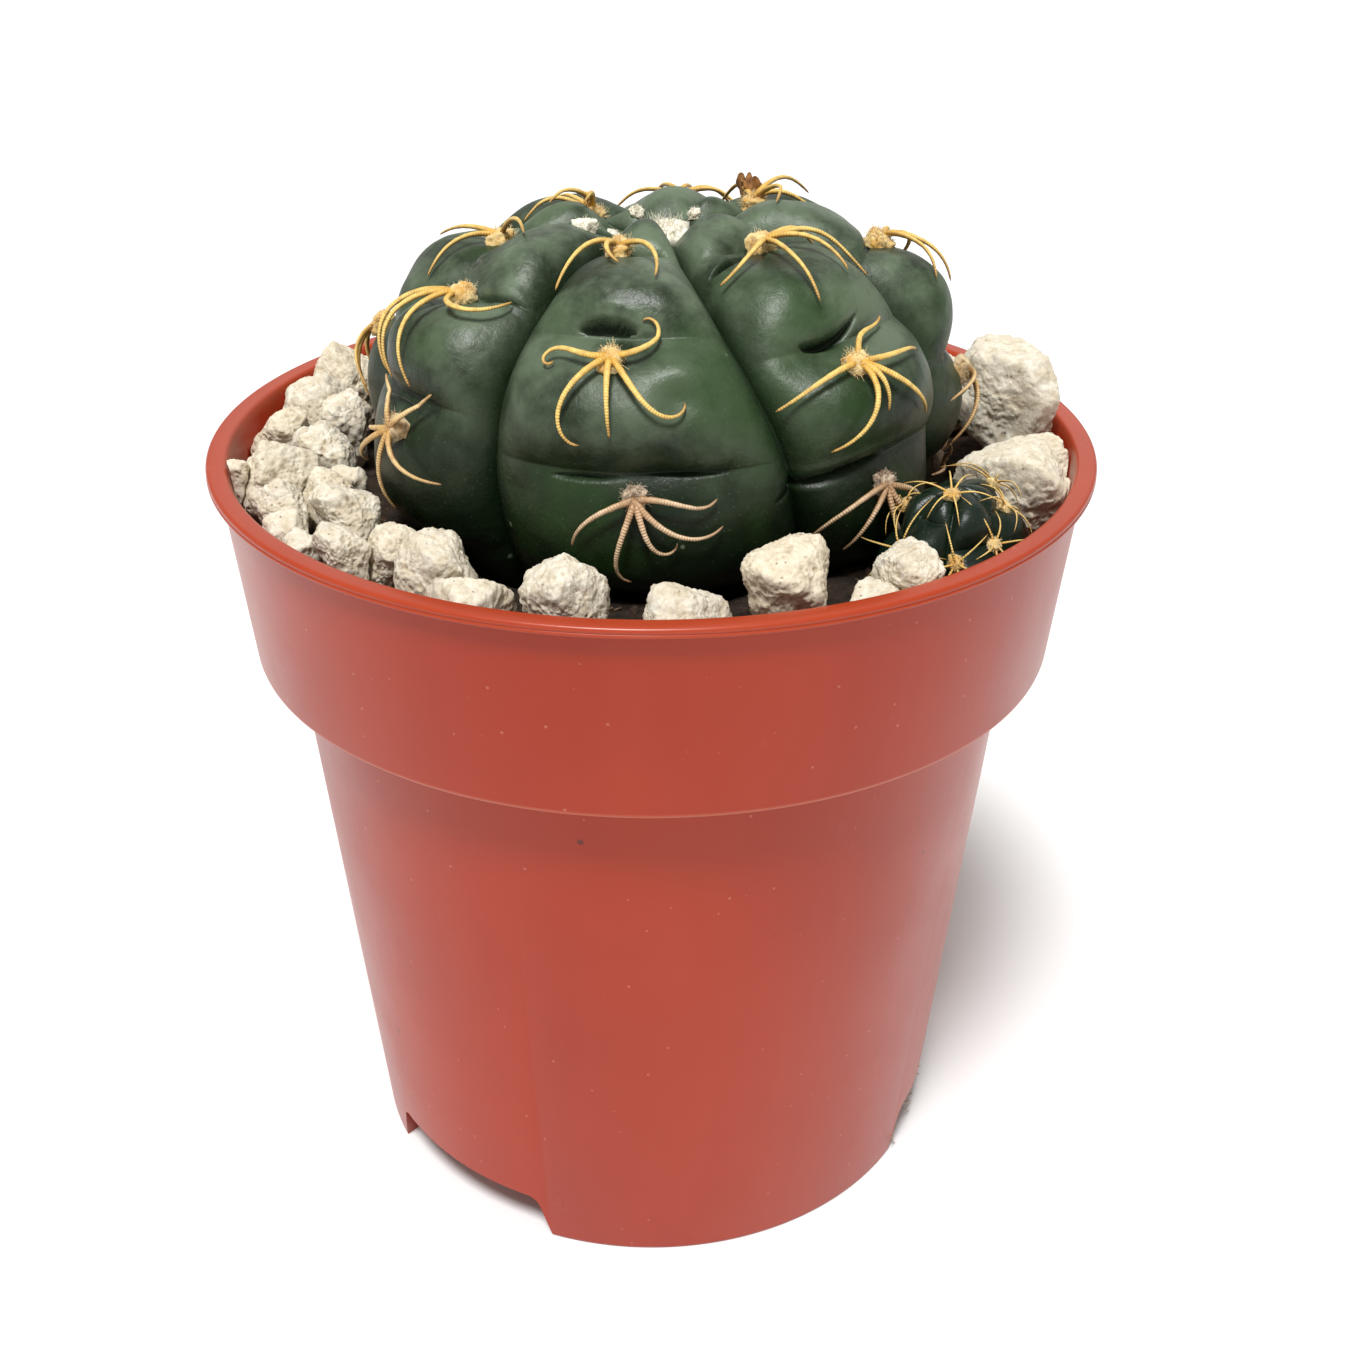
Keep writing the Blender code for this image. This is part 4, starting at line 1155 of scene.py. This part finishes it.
def make_soil(materials):
    """Soil that fills the pot, with a bowl under the plant: its top, its side, then its underside."""
    azimuth = np.linspace(0.0, 360.0, 420, endpoint=False)
    edge = 22.0
    rings = []
    top_radii = [np.linspace(2.0, edge, 8), np.linspace(edge + 1.0, inner_radius(SOIL_TOP) - SOIL_GAP, 70)]
    for radius in np.concatenate(top_radii):
        bowl = SOIL_BOWL_DEPTH * (1.0 - smooth_step(10.0, 26.5, radius))
        ring = spot(azimuth, radius, SOIL_TOP - 0.4 - bowl)
        if radius > edge:
            ring[:, 2] += relief(ring, SOIL_RELIEF)
        rings.append(ring)
    ledge = COLLAR_BOTTOM + WALL + SOIL_GAP
    floor = FLOOR_UNDERSIDE + WALL + SOIL_GAP
    side = ((ledge, ledge, 0.0), (ledge - 2.0, ledge, 0.0), (floor, floor + 0.4, 0.0), (floor, floor, 0.4))
    for level, height, inset in side:
        rings.append(spot(azimuth, inner_radius(level) - SOIL_GAP - inset, height))
    for radius in np.linspace(24.0, 2.0, 12):
        ring = spot(azimuth, radius, floor)
        ring[:, 2] += 0.15 * noise(ring, 1.5, 35)
        rings.append(ring)
    points, faces = closed_rings(np.array(rings))
    soil = mesh_object("potting_mix", points, [face[::-1] for face in faces], materials["soil"])
    place(soil, "soil", "potting_soil")


def scatter_places(generator, count, inner, outer):
    azimuth = generator.uniform(0.0, 360.0, count)
    radius = np.sqrt(generator.uniform(inner**2, outer**2, count))
    places = outward(azimuth) * radius[:, None]
    places[:, 2] = SOIL_TOP - 0.4 + relief(places, SOIL_RELIEF)
    return places


def make_litter(materials):
    """Crumbs of peat, chips of bark and root fibres that lie on the soil."""
    generator = np.random.default_rng(5)
    make_crumbs(materials["crumb"], generator)
    make_chips(materials["bark"], generator)
    make_threads(materials["fibre"], generator)


def make_crumbs(material, generator):
    crumbs = Bundle()
    directions, faces = icosphere(2)
    for number, middle in enumerate(scatter_places(generator, 900, 26.5, 39.6)):
        size = generator.uniform(0.2, 0.75) ** 1.2
        stretch = generator.uniform(0.6, 1.3, 3)
        lump = 1.0 + 0.3 * noise(directions * 2.0 + number, 1.0, 40)
        crumbs.add(middle + directions * stretch * size * lump[:, None], faces, tint=generator.random())
    place(crumbs.build("peat_crumbs", material), "soil")


def make_chips(material, generator):
    chips = Bundle()
    directions, faces = icosphere(3)
    for number, middle in enumerate(scatter_places(generator, 70, 27.0, 39.0)):
        spin = generator.uniform(0.0, np.pi)
        tilt = generator.uniform(-0.5, 0.5)
        box = np.sign(directions) * np.abs(directions) ** 0.45
        shape = box * generator.uniform((0.9, 0.35, 0.15), (2.0, 0.8, 0.4))
        shape = shape * (1.0 + 0.2 * noise(directions * 3.0 + number, 1.0, 44))[:, None]
        lifted = shape[:, 2] + tilt * shape[:, 0] + 0.3
        turned = turn_level(np.column_stack([shape[:, :2], lifted]), spin)
        chips.add(middle + turned, faces, tint=generator.random())
    place(chips.build("bark_chips", material), "soil")


def make_threads(material, generator):
    threads = Bundle()
    for middle in scatter_places(generator, 90, 27.0, 39.0):
        heading = unit(generator.normal(size=3) * np.array([1.0, 1.0, 0.15]))
        sway = unit(generator.normal(size=3) * np.array([1.0, 1.0, 0.3]))
        share = np.linspace(-0.5, 0.5, 12)
        length = generator.uniform(2.0, 5.0)
        path = middle + np.outer(share * length, heading) + np.outer(0.8 * np.sin(share * 5.0), sway)
        path[:, 2] = middle[2] + 0.35 + 0.2 * np.sin(share * 7.0)
        points, faces, along, _ = tube(path, np.full(12, generator.uniform(0.05, 0.12)), 5)
        threads.add(points, faces, along=along)
    place(threads.build("peat_fibres", material), "soil")


# Pumice


def body_plane(centre):
    """The plane (normal, offset) that keeps a stone outside the body's widest line."""
    aside = centre - BODY_CENTRE
    azimuth = math.degrees(math.atan2(aside[0], -aside[1]))
    polar = np.arange(60.0, 125.0, 5.0)
    feet = envelope_point(np.full(len(polar), azimuth), polar, np.zeros(len(polar)))
    nearest = np.argmin(np.linalg.norm(feet - centre, axis=1))
    normal = envelope_normal(azimuth, polar[nearest])[0]
    return -normal, -normal @ feet[nearest] - 1.0


def pup_plane(centre):
    """The plane that keeps a stone off the offset."""
    hub = spot(PUP_AZIMUTH, PUP_CENTRE_DISTANCE, PUP_CENTRE_HEIGHT)
    toward = unit(centre - hub)
    local = turn_level(toward, -math.radians(PUP_AZIMUTH))
    reach = 1.0 / np.linalg.norm(local / PUP_RADII)
    return -toward, -toward @ (hub + toward * reach)


def broken_lump(directions, centre, size, generator):
    """An angular lump of the given half size, with its underside sunk in the soil."""
    crush = np.zeros(len(directions))
    for normal in unit(generator.normal(size=(15, 3))):
        crush += np.maximum(directions @ normal / generator.uniform(0.72, 1.0), 0.0) ** STONE_SHARPNESS
    reach = np.minimum(1.0 / np.maximum(crush, 1e-9) ** (1.0 / STONE_SHARPNESS), 1.25)
    shape = directions * reach[:, None]
    low, high = shape.min(axis=0), shape.max(axis=0)
    stretch = size * generator.uniform(0.94, 1.06, 3) / (0.5 * (high - low))
    shape = (shape - 0.5 * (high + low)) * stretch
    shape[shape[:, 2] < 0.0, 2] *= max((centre[2] - SOIL_TOP + 0.8) / size, 1.0)
    return shape


def pressed(shape, centre, size, planes):
    """The lump pressed flat on its neighbours, and the directions from its centre to its points."""
    reach = np.linalg.norm(shape, axis=1)
    toward = shape / reach[:, None]
    limit = reach ** -STONE_SHARPNESS
    for normal, offset in planes:
        distance = max(offset - normal @ centre, 0.3 * size)
        limit += np.maximum(toward @ normal / distance, 0.0) ** STONE_SHARPNESS
    return toward * (limit ** (-1.0 / STONE_SHARPNESS))[:, None], toward


def within_pot(points):
    """Points drawn in to the pot's inner side."""
    levels = (60.0, POT_HEIGHT, 90.0)
    wall = np.interp(points[:, 2], levels, (inner_radius(levels[0]), inner_radius(POT_HEIGHT), 45.0))
    points[:, :2] *= np.minimum(1.0, (wall - 0.15) / np.hypot(points[:, 0], points[:, 1]))[:, None]
    return points


def stone_shape(centre, size, planes, seed, level):
    """A worn angular stone with a grainy porous skin, and how hollow it is at each point."""
    directions, faces = icosphere(level)
    lump = broken_lump(directions, centre, size, np.random.default_rng(seed))
    points, toward = pressed(lump, centre, size, planes)
    points = points + centre
    coarse = 0.055 * size * layered_noise(points, 2.6, seed, 2)
    fine = 0.13 * layered_noise(points, 0.8, seed + 9, 4, 0.78)
    ridged = -0.12 * np.abs(layered_noise(points, 1.5, seed + 20, 3, 0.6))
    pores = pits(points, 0.8, seed, 0.35)
    small_pores = pits(points, 0.42, seed + 3, 0.5)
    depth = coarse + fine + ridged - 0.2 * pores - 0.1 * small_pores
    hollow = np.clip(pores + 0.7 * small_pores - 2.0 * (fine + ridged), 0.0, 1.0)
    return within_pot(points + toward * depth[:, None]), faces, hollow


def make_stones(materials):
    every = STONES + SMALL_STONES
    centres = [spot(*stone[:3]) for stone in every]
    for index, stone in enumerate(every):
        centre, size = centres[index], stone[3]
        planes = [body_plane(centre), pup_plane(centre)]
        for other, neighbour in enumerate(every):
            between = centres[other] - centre
            distance = np.linalg.norm(between)
            if other != index and distance < NEIGHBOUR_REACH:
                normal = between / distance
                share = size / (size + neighbour[3])
                planes.append((normal, normal @ centre + share * distance - 0.02))
        big = index < len(STONES)
        points, faces, hollow = stone_shape(centre, size, planes, 500 + index, 6 if big else 5)
        name = f"stone_{index + 1:02d}"
        tint = random.Random(index).random() ** 1.5
        fields = {"hollow": hollow, "tint": np.full(len(points), tint)}
        piece = mesh_object(name, points, faces, materials["pumice"], fields)
        place(piece, "pumice", *([f"pumice_{index + 1:02d}"] if big else []))


# Root hairs at a drainage notch


def make_roots(materials):
    generator = np.random.default_rng(19)
    roots = Bundle()
    for azimuth, height, count in ROOT_TUFTS:
        start = spot(azimuth, BASE_RADIUS - 0.9, height)
        for _ in range(count):
            heading = unit(outward(np.array(azimuth)) + 0.7 * generator.normal(size=3))
            share = np.linspace(0.0, 1.0, 14)
            sway = 0.4 * np.outer(np.sin(share * generator.uniform(3.0, 8.0)), generator.normal(size=3))
            path = start + np.outer(share * generator.uniform(0.8, 2.2), heading) + sway * share[:, None]
            path[:, 2] = np.maximum(path[:, 2], 0.2)
            points, faces, along, _ = tube(path, 0.09 * (1.0 - 0.6 * share), 5)
            roots.add(points, faces, along=along)
    place(roots.build("root_hairs", materials["root"]), "soil")


# Stage


def make_stage():
    points = np.array([[-1, -1, 0], [1, -1, 0], [1, 1, 0], [-1, 1, 0]]) * FLOOR_HALF / MM
    floor = mesh_object("studio_floor", points, [[0, 1, 2, 3]], paper_white())


def sun(name, elevation, azimuth, width, strength):
    """A far, round softbox: how high it stands, where round the plant, how wide and how strong."""
    light = bpy.data.lights.new(name, "SUN")
    light.angle = math.radians(width)
    light.energy = strength
    lamp = bpy.data.objects.new(name, light)
    lamp.rotation_euler = (math.radians(90.0 - elevation), 0.0, math.radians(azimuth))
    bpy.context.scene.collection.objects.link(lamp)


def make_lights():
    world = bpy.data.worlds.new("studio")
    bpy.context.scene.world = world
    world.use_nodes = True
    backdrop = world.node_tree.nodes["Background"]
    backdrop.inputs["Color"].default_value = SKY_COLOUR
    backdrop.inputs["Strength"].default_value = SKY_STRENGTH
    sun("key", 64.0, -14.0, 15.0, 3.6)
    sun("back", 40.0, 172.0, 60.0, 0.35)


def make_camera():
    camera_data = bpy.data.cameras.new("camera")
    camera_data.sensor_width = CAMERA_SENSOR
    camera_data.lens = CAMERA_LENS
    camera = bpy.data.objects.new("camera", camera_data)
    camera.location = CAMERA_PLACE
    pitch, yaw, roll = map(math.radians, CAMERA_ANGLES)
    camera.rotation_euler = (0.5 * math.pi - pitch, -roll, -yaw)
    bpy.context.scene.collection.objects.link(camera)
    bpy.context.scene.camera = camera


def main():
    bpy.context.scene.view_settings.view_transform = "Standard"
    make_camera()
    make_stage()
    make_lights()
    # Skin tones: dark, the paler top tone (partly bloom, partly painted sheen) and fresh green.
    body_tones = (0.0062, 0.0145, 0.0048), (0.112, 0.152, 0.094), (0.020, 0.052, 0.010)
    pup_tones = (0.006, 0.014, 0.008), (0.016, 0.032, 0.018), (0.010, 0.024, 0.010)
    skin_material = skin("cactus_skin", *body_tones, 0.29)
    materials = {
        "pup": skin("offset_skin", *pup_tones, 0.2),
        "spine": spine_material(),
        "wool": wool_material(),
        "apex": fibre_material("apex_wool_fibre", (0.70, 0.64, 0.48), (0.90, 0.87, 0.76)),
        "flower": fibre_material("dried_petal", (0.09, 0.03, 0.012), (0.36, 0.17, 0.05)),
        "soil": earth("potting_mix", (0.010, 0.007, 0.005), (0.045, 0.028, 0.018), 0.8),
        "crumb": earth("peat_crumb", (0.012, 0.008, 0.006), (0.060, 0.036, 0.022), 0.8),
        "bark": earth("bark_chip", (0.040, 0.022, 0.013), (0.15, 0.085, 0.050), 0.75),
        "fibre": fibre_material("peat_fibre", (0.05, 0.03, 0.018), (0.17, 0.10, 0.06)),
        "root": fibre_material("root_hair", (0.22, 0.15, 0.10), (0.55, 0.47, 0.38)),
        "pumice": pumice_material(),
    }
    make_body(skin_material)
    make_clusters(materials)
    make_apex(materials)
    make_dried_flower(materials)
    make_pup(materials)
    make_pot(pot_plastic())
    make_soil(materials)
    make_litter(materials)
    make_stones(materials)
    make_roots(materials)


main()
